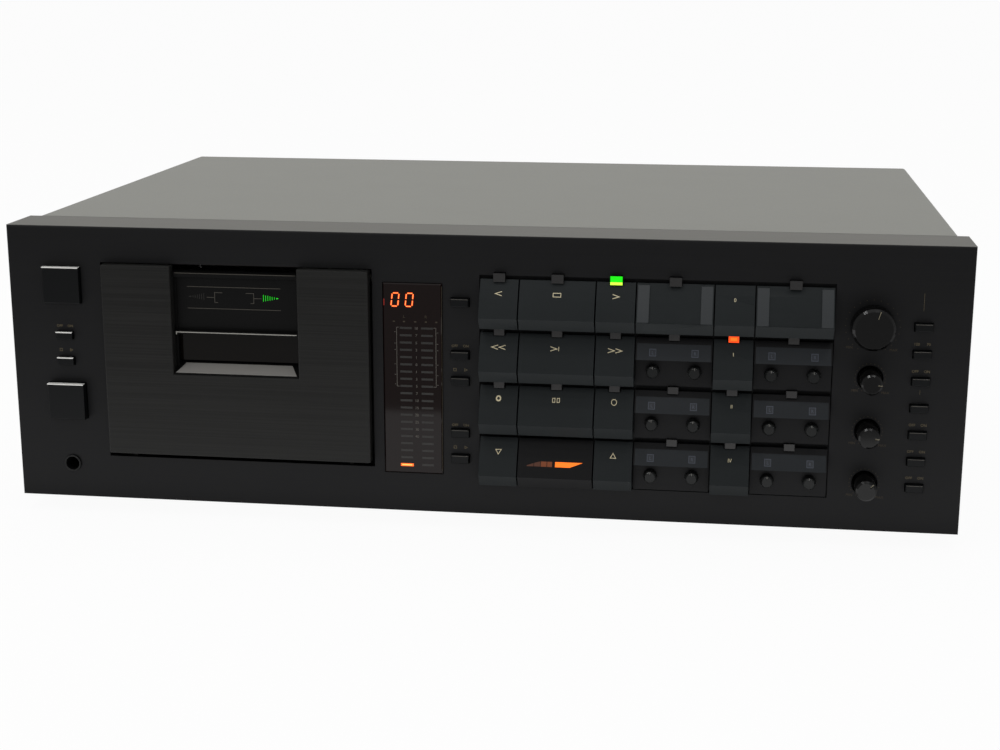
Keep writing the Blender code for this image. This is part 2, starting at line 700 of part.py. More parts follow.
def chassis_pan():
    """Folded pan and rear wall, with its feet, the line sockets and the mains inlet."""
    half = PANEL_WIDTH / 2 - COVER_INSET - COVER_SHEET - CLEARANCE
    floor = PAN_TOP - CHASSIS_SHEET
    roof = PANEL_TOP - COVER_SHEET - CLEARANCE
    front, rear = PANEL_BACK + CLEARANCE, FACE + REAR_WALL
    sheet = CHASSIS_SHEET
    side_view = [
        (front, floor), (rear, floor), (rear, roof), (rear - CHASSIS_FLANGE, roof),
        (rear - CHASSIS_FLANGE, roof - sheet), (rear - sheet, roof - sheet),
        (rear - sheet, PAN_TOP), (front, PAN_TOP),
    ]
    pan = prism(side_view, "X", -half, half)
    flange_front = FACE + PANEL_RETURN_DEPTH + COVER_FRONT_GAP
    flanges = []
    for side in (-1, 1):
        edges = sorted((side * half, side * (half - sheet)))
        depths = (flange_front, rear - sheet / 2)
        flanges.append(block(*edges, *depths, floor + sheet / 2, PAN_TOP + CHASSIS_FLANGE))
    feet = [
        foot(side * FOOT_ACROSS, setback)
        for side in (-1, 1) for setback in (FRONT_FOOT_SETBACK, REAR_FOOT_SETBACK)
    ]
    centres = [
        (JACK_ACROSS + column * JACK_PITCH, FLOOR_GAP + JACK_RISE + row * JACK_PITCH)
        for column in (0, 1) for row in (0, 1)
    ]
    collar = rear + JACK_COLLAR_LENGTH
    tip = collar + JACK_LENGTH
    jack_view = [
        (0, rear - sheet / 2), (JACK_COLLAR_RADIUS, rear - sheet / 2), (JACK_COLLAR_RADIUS, collar),
        (JACK_RADIUS, collar), (JACK_RADIUS, tip), (0, tip),
    ]
    jacks = [turned(jack_view, SMALL_ROUND_STEPS, centre) for centre in centres]
    bore = (tip - JACK_BORE_DEPTH, tip + OVERRUN)
    bores = [rod(centre, JACK_BORE_RADIUS, *bore, SMALL_ROUND_STEPS) for centre in centres]
    inlet = (INLET_ACROSS, FLOOR_GAP + INLET_RISE)
    width, height = INLET_WIDTH / 2, INLET_HEIGHT / 2
    housing = block(
        inlet[0] - width - INLET_WALL, inlet[0] + width + INLET_WALL, rear - INLET_DEPTH - INLET_WALL,
        rear + JACK_COLLAR_LENGTH, inlet[1] - height - INLET_WALL, inlet[1] + height + INLET_WALL,
    )
    recess = block(
        inlet[0] - width, inlet[0] + width, rear - INLET_DEPTH, rear + JACK_COLLAR_LENGTH + OVERRUN,
        inlet[1] - height, inlet[1] + height,
    )
    vents = []
    for side in (-1, 1):
        for place in range(VENT_COUNT):
            start = side * VENT_ACROSS - VENT_WIDTH / 2 + (place - (VENT_COUNT - 1) / 2) * VENT_PITCH
            vents.append(
                block(
                    start, start + VENT_WIDTH, FACE + VENT_SETBACK, FACE + VENT_SETBACK + VENT_LENGTH,
                    floor - OVERRUN, PAN_TOP + OVERRUN,
                )
            )
    return mesh_of(
        pan,
        add=[together(flanges), together(feet), together([*jacks, housing])],
        cut=[together([*bores, recess]), together(vents)],
    )


def key_profile(crest_drop, foot_drop, foot_proud):
    """Front line of a key in (y, z) below its top: a bulged slope to the crest, then a bevel back."""
    line = []
    for step in range(FACE_STEPS + 1):
        share = step / FACE_STEPS
        proud = KEY_TOP_PROUD + (KEY_CREST_PROUD - KEY_TOP_PROUD) * share
        proud += 4 * KEY_FACE_BULGE * share * (1 - share)
        line.append((-proud, -KEY_CREST_DROP * share))
    line = [point for point in line if point[1] >= -crest_drop - WELD]
    return [*line, (-foot_proud, -foot_drop)]


def face_proud(drop):
    """How far the sloped face stands out at a drop below the key's top."""
    share = drop / KEY_CREST_DROP
    slope = KEY_TOP_PROUD + (KEY_CREST_PROUD - KEY_TOP_PROUD) * share
    return slope + 4 * KEY_FACE_BULGE * share * (1 - share)


def key_mesh(column_width, notched, inset):
    """Hollow key cap with a stem, in a frame at its top centre on the panel's face."""
    half = (column_width - KEY_SIDE_GAP) / 2
    face = key_profile(KEY_CREST_DROP, KEY_HEIGHT, KEY_FOOT_PROUD)
    outline = [(KEY_REAR, 0), *face, (KEY_REAR, -KEY_HEIGHT)]
    cap = prism(outline, "X", -half, half)
    wall = KEY_WALL
    notch_depth = TAB_OVERLAP + CLEARANCE
    low = -(notch_depth + wall)
    inner = [
        (KEY_REAR + OVERRUN, low), (-face_proud(-low) + wall, low),
        (-KEY_CREST_PROUD + wall, -KEY_CREST_DROP), (-KEY_FOOT_PROUD + wall, -KEY_HEIGHT + wall),
        (KEY_REAR + OVERRUN, -KEY_HEIGHT + wall),
    ]
    hollow = prism(inner, "X", -half + wall, half - wall)
    middle = -KEY_HEIGHT / 2
    stem_back = FRAME_FACE - FACE + STEM_LENGTH
    stem = block(
        -STEM_WIDTH / 2, STEM_WIDTH / 2, -face_proud(KEY_HEIGHT / 2 - STEM_HEIGHT / 2) + wall / 2, stem_back,
        middle - STEM_HEIGHT / 2, middle + STEM_HEIGHT / 2,
    )
    cuts = []
    if notched:
        width = TAB_WIDTH / 2 + CLEARANCE
        cuts.append(block(-width, width, -KEY_CREST_PROUD, KEY_REAR + OVERRUN, -notch_depth, OVERRUN))
    if inset:
        depth = INSET_DEPTH
        line = [(y + depth, z) for y, z in key_profile(KEY_CREST_DROP, KEY_CREST_DROP, KEY_CREST_PROUD)[:-1]]
        crest = line[-1]
        shape = [*line, (crest[0] - KEY_CREST_PROUD, crest[1]), (crest[0] - KEY_CREST_PROUD, OVERRUN),
                 (line[0][0], OVERRUN)]
        cuts.append(prism(shape, "X", -half + INSET_MARGIN, half - INSET_MARGIN))
    return mesh_of(solid_of(cap, [hollow, *cuts]), add=[stem])


KEY_NAMES = (
    ("reverse_play_key", "stop_key", "forward_play_key", "level_key", "calibration_reset_key", "bias_key"),
    ("rewind_key", "cue_key", "fast_forward_key", None, "tape_type_1_key", None),
    ("record_mute_key", "pause_key", "record_key", None, "tape_type_2_key", None),
    ("fade_down_key", None, "fade_up_key", None, "tape_type_3_key", None),
)


def trimmer_cells():
    """Column, row and name of each trimmer cell."""
    kinds = {3: "level", 5: "bias"}
    return [
        (column, row, f"{kinds[column]}_trimmer_{row}")
        for row in range(1, KEY_ROWS) for column in kinds
    ]


def trimmer_centres(column, row):
    """Centres of the left and right trimmers of a cell."""
    left, right = column_edges(column)
    level = row_top(row) - TRIMMER_DROP
    middle = (left + right) / 2
    return {"left": (middle - TRIMMER_OFFSET, level), "right": (middle + TRIMMER_OFFSET, level)}


def key_frame():
    """Plate behind the keys with their stem slots, the trimmer cells, the fader display and lamp tabs."""
    left, right = across(KEYS_START), across(KEYS_START + KEYS_WIDTH)
    back = FRAME_FACE + FRAME_SHEET
    top, bottom = below(KEYS_DROP) + KEY_OPENING_RISE, below(KEYS_FOOT + KEY_OPENING_FOOT)
    plate = block(
        left - FRAME_MARGIN, right + FRAME_MARGIN, FRAME_FACE, back, bottom - FRAME_MARGIN,
        top + max(FRAME_MARGIN, TAB_RISE),
    )
    root = FRAME_FACE + FRAME_SHEET / 2
    cells = []
    for column, row, _ in trimmer_cells():
        edges = column_edges(column)
        line = [(-face_proud(BAND_DROP * share), -BAND_DROP * share) for share in (0, 0.5, 1)]
        outline = [
            *line, (-CELL_FLOOR_PROUD, -BAND_DROP), (-CELL_FLOOR_PROUD, -KEY_HEIGHT),
        ]
        shape = [(FACE + y, row_top(row) + z) for y, z in outline]
        shape = [(root, row_top(row)), *shape, (root, row_top(row) - KEY_HEIGHT)]
        cells.append(prism(shape, "X", edges[0] + KEY_SIDE_GAP / 2, edges[1] - KEY_SIDE_GAP / 2))
    edges = column_edges(FADER_COLUMN)
    top_line = row_top(FADER_ROW)
    outline = key_profile(KEY_CREST_DROP, KEY_HEIGHT, KEY_FOOT_PROUD)
    shape = [(FACE + y, top_line + z) for y, z in outline]
    shape = [(root, top_line), *shape, (root, top_line - KEY_HEIGHT)]
    cells.append(prism(shape, "X", edges[0] + KEY_SIDE_GAP / 2, edges[1] - KEY_SIDE_GAP / 2))
    tabs = [lamp_tab(column, row) for column, row in lamp_tabs()]
    slots = []
    for row, names in enumerate(KEY_NAMES):
        for column, name in enumerate(names):
            if name:
                edges = column_edges(column)
                centre = ((edges[0] + edges[1]) / 2, row_top(row) - KEY_HEIGHT / 2)
                slots.append(
                    block(
                        centre[0] - STEM_WIDTH / 2 - CLEARANCE, centre[0] + STEM_WIDTH / 2 + CLEARANCE,
                        FRAME_FACE - OVERRUN, back + OVERRUN,
                        centre[1] - STEM_HEIGHT / 2 - CLEARANCE, centre[1] + STEM_HEIGHT / 2 + CLEARANCE,
                    )
                )
    bores = []
    for column, row, _ in trimmer_cells():
        for centre in trimmer_centres(column, row).values():
            bore = (TRIMMER_SHAFT_RADIUS + CLEARANCE, FACE - KEY_CREST_PROUD, back + OVERRUN)
            bores.append(rod(centre, *bore, TRIMMER_ROUND_STEPS))
    return mesh_of(plate, add=[together(cells), together(tabs)], cut=[together(slots), together(bores)])


def keys(finish):
    """Every key of the block, sharing one mesh for each form."""
    forms = {}
    tabs = lamp_tabs()
    for row, names in enumerate(KEY_NAMES):
        for column, name in enumerate(names):
            if not name:
                continue
            form = (KEY_COLUMNS[column], (column, row) in tabs, name in ("level_key", "bias_key"))
            if form not in forms:
                forms[form] = key_mesh(*form)
            edges = column_edges(column)
            stand(name, forms[form], finish, ((edges[0] + edges[1]) / 2, FACE, row_top(row)), local=True)


def knob_mesh(radius, proud, bevel, seat, shaft, shaft_length, steps, pointer_degrees):
    """Turned knob with a pointer groove, its axis on Y through the frame's origin at the panel's face."""
    body = turned(
        [
            (0, -proud), (radius - KNOB_TAPER - bevel, -proud), (radius - KNOB_TAPER, -proud + bevel),
            (radius, seat), (shaft, seat), (shaft, seat + shaft_length), (0, seat + shaft_length),
        ],
        steps,
    )
    reach = radius - KNOB_TAPER + OVERRUN
    groove = block(
        -POINTER_WIDTH / 2, POINTER_WIDTH / 2, -proud - OVERRUN, -proud + POINTER_DEPTH,
        reach - radius * POINTER_LENGTH_SHARE - OVERRUN, reach,
    )
    turn = Matrix.Rotation(math.radians(pointer_degrees), 3, "Y")
    bmesh.ops.rotate(groove, verts=groove.verts, matrix=turn)
    return mesh_of(body, cut=[groove])


def knobs(finish):
    """The master knob on the panel and the three small knobs in their wells."""
    master, *small = knob_centres()
    proud = -CLEARANCE
    length = WELL_DEPTH + WELL_WALL + 2 * CLEARANCE
    mesh = knob_mesh(
        MASTER_RADIUS, MASTER_PROUD, MASTER_BEVEL, proud, KNOB_SHAFT_RADIUS, length + KNOB_SHAFT_LENGTH,
        LARGE_ROUND_STEPS, MASTER_POINTER_DEGREES,
    )
    stand("master_level_knob", mesh, finish, (master[0], FACE, master[1]), local=True)
    seat = WELL_DEPTH - CLEARANCE
    names = ("left_level_knob", "right_level_knob", "output_level_knob")
    turns = (SMALL_POINTER_DEGREES, SMALL_POINTER_DEGREES, OUTPUT_POINTER_DEGREES)
    for name, centre, turn in zip(names, small, turns):
        mesh = knob_mesh(
            SMALL_KNOB_RADIUS, SMALL_KNOB_PROUD, SMALL_KNOB_BEVEL, seat, KNOB_SHAFT_RADIUS,
            WELL_WALL + KNOB_SHAFT_LENGTH, MIDDLE_ROUND_STEPS, turn,
        )
        stand(name, mesh, finish, (centre[0], FACE, centre[1]), local=True)


def trimmers(finish):
    """Two trimmers in each cell, all of one mesh, pointing up."""
    seat = -CELL_FLOOR_PROUD - CLEARANCE
    proud = CELL_FLOOR_PROUD + TRIMMER_LENGTH
    shaft = TRIMMER_SHAFT_LENGTH
    mesh = knob_mesh(
        TRIMMER_RADIUS, proud, TRIMMER_BEVEL, seat, TRIMMER_SHAFT_RADIUS, shaft, TRIMMER_ROUND_STEPS, 0,
    )
    for column, row, name in trimmer_cells():
        for side, centre in trimmer_centres(column, row).items():
            stand(f"{name}_{side}", mesh, finish, (centre[0], FACE, centre[1]), local=True)


def cassette_door():
    """Thick door plate with a notch open at the top."""
    left, right = across(DOOR_START), across(DOOR_START + DOOR_WIDTH)
    middle = across(DOOR_CENTRE)
    notch_left, notch_right = middle - NOTCH_WIDTH / 2, middle + NOTCH_WIDTH / 2
    round_corner = DOOR_CORNER_RADIUS
    corners = [
        (left, DOOR_FOOT, round_corner), (right, DOOR_FOOT, round_corner),
        (right, DOOR_TOP, round_corner), (notch_right, DOOR_TOP, 0), (notch_right, NOTCH_FOOT, 0),
        (notch_left, NOTCH_FOOT, 0), (notch_left, DOOR_TOP, 0), (left, DOOR_TOP, round_corner),
    ]
    front = FACE - DOOR_PROUD
    plate = prism(fillet(corners), "Y", front, front + DOOR_THICKNESS)
    def on_face(edge):
        return all(vert.co.y < front + WELD for vert in edge.verts)

    plate = bevelled(plate, DOOR_EDGE_BEVEL, on_face)
    return mesh_of(plate)


def insert_outline():
    """Side view (y, z) of the moulding in the notch: sill, window recess, rim, display and top lip."""
    sill = NOTCH_FOOT + CLEARANCE
    window = sill + SILL_NOSE + SILL_RISE
    rim = window + WINDOW_HEIGHT
    display = rim + RIM_HEIGHT + INSERT_SLOPE
    lip = DOOR_TOP - LIP_DROP
    top = lip + INSERT_SLOPE
    nose = FACE - DOOR_PROUD + CLEARANCE
    return [
        (FACE + INSERT_DEPTH, sill), (nose, sill), (nose, sill + SILL_NOSE),
        (FACE + WINDOW_SETBACK, window), (FACE + WINDOW_SETBACK, rim),
        (FACE - RIM_PROUD, rim + INSERT_SLOPE / 2), (FACE - RIM_PROUD, rim + RIM_HEIGHT),
        (FACE + DISPLAY_SETBACK, display), (FACE + DISPLAY_SETBACK, lip - LIP_HEIGHT - INSERT_SLOPE),
        (FACE - LIP_PROUD, lip - LIP_HEIGHT), (FACE - LIP_PROUD, lip),
        (HOLDER_FRONT, top), (FACE + INSERT_DEPTH, top),
    ]


def window_span():
    """Bottom and top Z of the viewing window's recess."""
    bottom = NOTCH_FOOT + CLEARANCE + SILL_NOSE + SILL_RISE
    return bottom, bottom + WINDOW_HEIGHT


def cassette_holder():
    """Moulded carrier: front shell, notch moulding, cassette guides and ledges, hinge ears and pins."""
    middle = across(DOOR_CENTRE)
    insert_half = NOTCH_WIDTH / 2 - CLEARANCE
    insert = prism(insert_outline(), "X", middle - insert_half, middle + insert_half)
    shell_half = HOLDER_HALF + HOLDER_SHELL_FLANGE
    shell_top = DOOR_TOP - LIP_DROP - LIP_HEIGHT / 2
    shell = block(
        middle - shell_half, middle + shell_half, HOLDER_FRONT, HOLDER_FRONT + HOLDER_SHELL,
        DOOR_FOOT + HOLDER_SHELL_MARGIN, shell_top,
    )
    sides, lips, ledges, pins = [], [], [], []
    for side in (-1, 1):
        outer, inner = side * HOLDER_HALF, side * GUIDE_HALF
        edges = sorted((middle + outer, middle + inner))
        side_view = fillet(
            [
                (HINGE_DEPTH - EAR_RADIUS, DOOR_FOOT - EAR_RADIUS, EAR_RADIUS),
                (HINGE_DEPTH + EAR_RADIUS, DOOR_FOOT - EAR_RADIUS, EAR_RADIUS),
                (HINGE_DEPTH + EAR_RADIUS, DOOR_FOOT + EAR_RADIUS, 0),
                (HOLDER_BACK, CASSETTE_SEAT - LEDGE_THICKNESS, 0),
                (HOLDER_BACK, CASSETTE_TOP, 0), (HOLDER_FRONT + HOLDER_SHELL / 2, CASSETTE_TOP, 0),
                (HOLDER_FRONT + HOLDER_SHELL / 2, DOOR_FOOT + HOLDER_SHELL_MARGIN, 0),
            ],
            steps=4,
        )
        sides.append(prism(side_view, "X", *edges))
        lip = sorted((middle + outer - side * GUIDE_WALL / 2, middle + inner - side * GUIDE_LIP))
        ledge_foot = CASSETTE_SEAT - LEDGE_THICKNESS
        ledge_front = HOLDER_FRONT + HOLDER_SHELL / 2
        rear_lip = block(*lip, CASSETTE_BACK, HOLDER_BACK, ledge_foot, CASSETTE_TOP)
        shelf = sorted((middle + outer - side * GUIDE_WALL / 2, middle + inner - side * LEDGE_WIDTH))
        lips.append(rear_lip)
        ledges.append(block(*shelf, ledge_front, HOLDER_BACK, ledge_foot, CASSETTE_SEAT))
        reach = sorted((middle + outer - side * GUIDE_WALL / 2, middle + outer + side * HINGE_PIN_LENGTH))
        pins.append(cross_rod(HINGE_DEPTH, DOOR_FOOT, HINGE_PIN_RADIUS, *reach, SMALL_ROUND_STEPS))
    bottom, top = window_span()
    hole_half = insert_half - WINDOW_REBATE
    hole = block(
        middle - hole_half, middle + hole_half, HOLDER_FRONT, FACE + INSERT_DEPTH + OVERRUN,
        bottom + WINDOW_REBATE, top - WINDOW_REBATE,
    )
    lap = HOLDER_SHELL / 2
    view = block(
        middle - insert_half + lap, middle + insert_half - lap, HOLDER_FRONT - OVERRUN,
        HOLDER_FRONT + HOLDER_SHELL + OVERRUN, NOTCH_FOOT + CLEARANCE + lap, shell_top + OVERRUN,
    )
    carrier = solid_of(shell, [view])
    guides = [together(sides), together(lips), together(ledges), together(pins)]
    return mesh_of(carrier, add=[insert, *guides], cut=[hole])


def holder_window():
    """Clear lens laid in the window's rebate."""
    middle = across(DOOR_CENTRE)
    bottom, top = window_span()
    half = NOTCH_WIDTH / 2 - 2 * CLEARANCE
    back = FACE + WINDOW_SETBACK - CLEARANCE
    return mesh_of(
        block(middle - half, middle + half, back - WINDOW_LENS, back, bottom + CLEARANCE, top - CLEARANCE)
    )


def transport_frame():
    """Upright plate with its base flange, hinge brackets, head block, pinch rollers and capstans."""
    middle = across(DOOR_CENTRE)
    half = DOOR_WIDTH / 2 + TRANSPORT_SIDE_MARGIN
    face, sheet = TRANSPORT_FACE, TRANSPORT_SHEET
    foot_height = PAN_TOP + CLEARANCE
    side_view = [
        (face, CASSETTE_TOP), (face, foot_height), (face + TRANSPORT_BASE_DEPTH, foot_height),
        (face + TRANSPORT_BASE_DEPTH, foot_height + sheet), (face + sheet, foot_height + sheet),
        (face + sheet, CASSETTE_TOP),
    ]
    plate = prism(side_view, "X", middle - half, middle + half)
    brackets, holes, parts = [], [], []
    for side in (-1, 1):
        start = HOLDER_HALF + 2 * CLEARANCE
        edges = sorted((middle + side * start, middle + side * (start + BRACKET_THICKNESS)))
        outline = fillet(
            [
                (PANEL_BACK + CLEARANCE, DOOR_FOOT - BRACKET_HEIGHT / 2, EAR_RADIUS / 2),
                (face + sheet / 2, DOOR_FOOT - BRACKET_HEIGHT / 2, 0),
                (face + sheet / 2, DOOR_FOOT + BRACKET_HEIGHT, 0),
                (PANEL_BACK + CLEARANCE, DOOR_FOOT + BRACKET_HEIGHT / 2, EAR_RADIUS / 2),
            ]
        )
        brackets.append(prism(outline, "X", *edges))
        reach = (edges[0] - OVERRUN, edges[1] + OVERRUN)
        pin_hole = HINGE_PIN_RADIUS + CLEARANCE
        holes.append(cross_rod(HINGE_DEPTH, DOOR_FOOT, pin_hole, *reach, SMALL_ROUND_STEPS))
        centre = (middle + side * ROLLER_PITCH / 2, CASSETTE_SEAT - ROLLER_DROP)
        front = face - HEAD_REACH
        parts.append(
            turned(
                [
                    (0, front), (ROLLER_RADIUS, front), (ROLLER_RADIUS, front + ROLLER_WIDTH),
                    (ROLLER_ARM_RADIUS, front + ROLLER_WIDTH), (ROLLER_ARM_RADIUS, face + sheet / 2),
                    (0, face + sheet / 2),
                ],
                MIDDLE_ROUND_STEPS, centre,
            )
        )
        capstan = (centre[0], CASSETTE_SEAT + CAPSTAN_RISE)
        capstan_reach = (face - CAPSTAN_LENGTH, face + sheet / 2)
        parts.append(rod(capstan, CAPSTAN_RADIUS, *capstan_reach, TRIMMER_ROUND_STEPS))
    base_top = CASSETTE_SEAT - HEAD_RISE / 2
    base = block(
        middle - HEAD_BASE_WIDTH / 2, middle + HEAD_BASE_WIDTH / 2, face - HEAD_REACH, face + sheet / 2,
        base_top - HEAD_BASE_HEIGHT, base_top,
    )
    head = prism(
        fillet(
            [
                (middle - HEAD_WIDTH / 2, base_top - OVERRUN, 0),
                (middle + HEAD_WIDTH / 2, base_top - OVERRUN, 0),
                (middle + HEAD_WIDTH / 2, CASSETTE_SEAT + HEAD_RISE, HEAD_NOSE_RADIUS),
                (middle - HEAD_WIDTH / 2, CASSETTE_SEAT + HEAD_RISE, HEAD_NOSE_RADIUS),
            ],
            steps=4,
        ),
        "Y", face - HEAD_REACH + OVERRUN, face - OVERRUN,
    )
    for side in (-1, 1):
        centre = (middle + side * HUB_PITCH / 2, HUB_HEIGHT)
        radius = SPINDLE_SHAFT_RADIUS + CLEARANCE
        holes.append(rod(centre, radius, face - OVERRUN, face + sheet + OVERRUN, TRIMMER_ROUND_STEPS))
    return mesh_of(plate, add=[together(brackets), together(parts), base, head], cut=[together(holes)])


def spindle(name, side, finish):
    """Reel spindle: table, finned hub with a pointed nose, and the shaft through the plate."""
    back = -CLEARANCE
    table = back - REEL_TABLE_THICKNESS
    tip = -SPINDLE_LENGTH
    body = turned(
        [
            (0, tip - SPINDLE_NOSE), (SPINDLE_HUB_RADIUS / 2, tip - SPINDLE_NOSE), (SPINDLE_HUB_RADIUS, tip),
            (SPINDLE_HUB_RADIUS, table), (REEL_TABLE_RADIUS, table), (REEL_TABLE_RADIUS, back),
            (SPINDLE_SHAFT_RADIUS, back), (SPINDLE_SHAFT_RADIUS, SPINDLE_SHAFT_LENGTH),
            (0, SPINDLE_SHAFT_LENGTH),
        ],
        MIDDLE_ROUND_STEPS,
    )
    fins = []
    for place in range(SPINDLE_FIN_COUNT):
        fin = block(
            -SPINDLE_FIN_WIDTH / 2, SPINDLE_FIN_WIDTH / 2, tip, table + REEL_TABLE_THICKNESS / 2,
            SPINDLE_HUB_RADIUS / 2, SPINDLE_FIN_RADIUS,
        )
        turn = Matrix.Rotation(math.tau * place / SPINDLE_FIN_COUNT, 3, "Y")
        bmesh.ops.rotate(fin, verts=fin.verts, matrix=turn)
        fins.append(fin)
    pivot = (across(DOOR_CENTRE) + side * HUB_PITCH / 2, TRANSPORT_FACE, HUB_HEIGHT)
    stand(name, mesh_of(body, add=[together(fins)]), finish, pivot, local=True)


def meter_window():
    """Smoked lens through the panel, held by a flange behind it."""
    centre = (across(METER_CENTRE), below(METER_DROP + METER_HEIGHT / 2))
    half_width, half_height = METER_WIDTH / 2, METER_HEIGHT / 2
    flange = PANEL_BACK + CLEARANCE
    front = FACE - METER_PROUD
    sections = [
        (front, half_width - METER_BEVEL, half_height - METER_BEVEL),
        (front + METER_BEVEL, half_width, half_height),
        (flange, half_width, half_height),
        (flange, half_width + METER_FLANGE, half_height + METER_FLANGE),
        (flange + METER_FLANGE, half_width + METER_FLANGE, half_height + METER_FLANGE),
    ]
    return mesh_of(stepped(sections, centre))


def main():
    """Clears the scene and builds every piece."""
    for obj in list(bpy.data.objects):
        bpy.data.objects.remove(obj, do_unlink=True)
    panel_black = material("panel_black", (0.018, 0.018, 0.019), 0.42)
    cover_grey = material("cover_grey", (0.20, 0.20, 0.185), 0.45, 0.3)
    chassis_steel = material("chassis_steel", (0.42, 0.42, 0.40), 0.38, 0.9)
    door_metal = material("door_metal", (0.05, 0.05, 0.052), 0.40, 0.6)
    moulding_black = material("moulding_black", (0.02, 0.02, 0.02), 0.35)
    key_grey = material("key_grey", (0.040, 0.042, 0.048), 0.38)
    button_black = material("button_black", (0.022, 0.022, 0.024), 0.40)
    knob_black = material("knob_black", (0.03, 0.03, 0.032), 0.30)
    smoked = material("smoked_lens", (0.012, 0.009, 0.009), 0.08)
    clear = material("clear_lens", (0.06, 0.06, 0.06), 0.05)
    spindle_white = material("spindle_grey", (0.45, 0.45, 0.43), 0.45)

    stand("front_panel", front_panel(), panel_black)
    stand("top_cover", top_cover(), cover_grey)
    stand("chassis_pan", chassis_pan(), chassis_steel)
    stand("key_frame", key_frame(), moulding_black)
    stand("meter_window", meter_window(), smoked)
    stand("transport_frame", transport_frame(), chassis_steel)
    for name, side in (("supply_spindle", -1), ("takeup_spindle", 1)):
        spindle(name, side, spindle_white)

    hinge = bpy.data.objects.new("door_hinge", None)
    bpy.context.scene.collection.objects.link(hinge)
    hinge.location = (across(DOOR_CENTRE), HINGE_DEPTH, DOOR_FOOT)
    stand("cassette_door", cassette_door(), door_metal, hinge.location, parent=hinge)
    stand("cassette_holder", cassette_holder(), moulding_black, hinge.location, parent=hinge)
    stand("holder_window", holder_window(), clear, hinge.location, parent=hinge)

    large_size = (LARGE_BUTTON_WIDTH, LARGE_BUTTON_HEIGHT)
    for name, centre, proud in large_buttons():
        push_button(name, centre, *large_size, proud, LARGE_BUTTON_TRAVEL, button_black)
    for name, centre, width, height in small_buttons():
        push_button(name, centre, width, height, BUTTON_PROUD, BUTTON_TRAVEL, button_black)
    keys(key_grey)
    knobs(knob_black)
    trimmers(knob_black)


main()
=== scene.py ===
"""Looks of a full-width auto-reverse cassette deck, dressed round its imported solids.

Places on the front are panel places: u across from the panel's left edge and v down from its
top edge, in metres. Every other place is in the row frame: +X right, +Y back, +Z up.
"""

import logging
import math
from dataclasses import dataclass, field
from enum import Enum
from typing import Any, Callable, Sequence

import bpy
import numpy as np
from mathutils import Euler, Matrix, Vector


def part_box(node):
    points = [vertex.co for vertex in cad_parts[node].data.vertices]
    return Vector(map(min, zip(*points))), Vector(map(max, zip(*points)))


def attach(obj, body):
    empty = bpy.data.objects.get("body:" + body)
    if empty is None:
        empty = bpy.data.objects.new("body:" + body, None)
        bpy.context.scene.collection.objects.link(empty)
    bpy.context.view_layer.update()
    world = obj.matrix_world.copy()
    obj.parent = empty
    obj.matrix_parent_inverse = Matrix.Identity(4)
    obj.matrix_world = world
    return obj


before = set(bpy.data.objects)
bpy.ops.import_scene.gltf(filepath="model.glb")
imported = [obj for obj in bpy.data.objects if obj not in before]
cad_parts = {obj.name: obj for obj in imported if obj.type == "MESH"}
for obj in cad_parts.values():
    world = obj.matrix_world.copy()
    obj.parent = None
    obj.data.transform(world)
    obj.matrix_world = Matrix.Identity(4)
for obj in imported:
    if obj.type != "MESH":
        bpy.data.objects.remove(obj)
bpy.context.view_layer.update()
LOG = logging.getLogger("cassette_deck")

MM = 0.001
FACE_SETBACK = 30.5 * MM
FACE_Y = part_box("top_cover")[0].y - FACE_SETBACK
PANEL_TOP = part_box("front_panel")[1].z
PANEL_WIDTH = 2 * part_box("front_panel")[1].x
PRINT_LIFT = 0.02 * MM
PRINT_THICKNESS = 0.05 * MM

Points = np.ndarray
Surface = Callable[[Points, Points], Points]


@dataclass
class Figure:
    """A flat drawing: points as rows of (u, v), and faces as lists of row numbers."""

    points: Points
    faces: list[list[int]]

    def moved(self, u: float, v: float) -> "Figure":
        """The drawing carried by (u, v)."""
        return Figure(self.points + np.array([u, v]), self.faces)


def together(figures: Sequence[Figure]) -> Figure:
    """One drawing of several.

    Args:
        figures: the drawings, in order.

    Returns:
        Their points stacked as one array, with each one's faces counted on from the last.
    """
    starts = np.cumsum([0] + [len(figure.points) for figure in figures])
    faces = [[int(i + start) for i in face] for figure, start in zip(figures, starts) for face in figure.faces]
    return Figure(np.vstack([figure.points for figure in figures]), faces)


def stroke(points: Sequence[tuple[float, float]], width: float, closed: bool = False) -> Figure:
    """A line of even width along points.

    Each point is pushed to both sides along the mitre of its two edges: the sum of the edges'
    unit normals, scaled so that its part along either normal is half the width.

    Args:
        points: the line's corners, in order.
        width: width of the line.
        closed: whether the last corner joins the first.

    Returns:
        The line as a strip of four-cornered faces.
    """
    line = np.asarray(points, float)
    ahead = np.roll(line, -1, axis=0) - line
    if not closed:
        ahead[-1] = ahead[-2]
    normal = np.column_stack([-ahead[:, 1], ahead[:, 0]])
    normal /= np.linalg.norm(normal, axis=1, keepdims=True)
    before = np.roll(normal, 1, axis=0)
    if not closed:
        before[0] = normal[0]
    mitre = normal + before
    mitre *= 0.5 * width / np.sum(mitre * normal, axis=1, keepdims=True)
    count = len(line)
    pairs = range(count if closed else count - 1)
    faces = [[i, (i + 1) % count, (i + 1) % count + count, i + count] for i in pairs]
    return Figure(np.vstack([line + mitre, line - mitre]), faces)


def bar(left: float, right: float, top: float, bottom: float) -> Figure:
    """A filled rectangle."""
    corners = np.array([[left, top], [right, top], [right, bottom], [left, bottom]], float)
    return Figure(corners, [[0, 1, 2, 3]])


def polygon(corners: Sequence[tuple[float, float]]) -> Figure:
    """A filled outline with straight sides."""
    return Figure(np.asarray(corners, float), [list(range(len(corners)))])


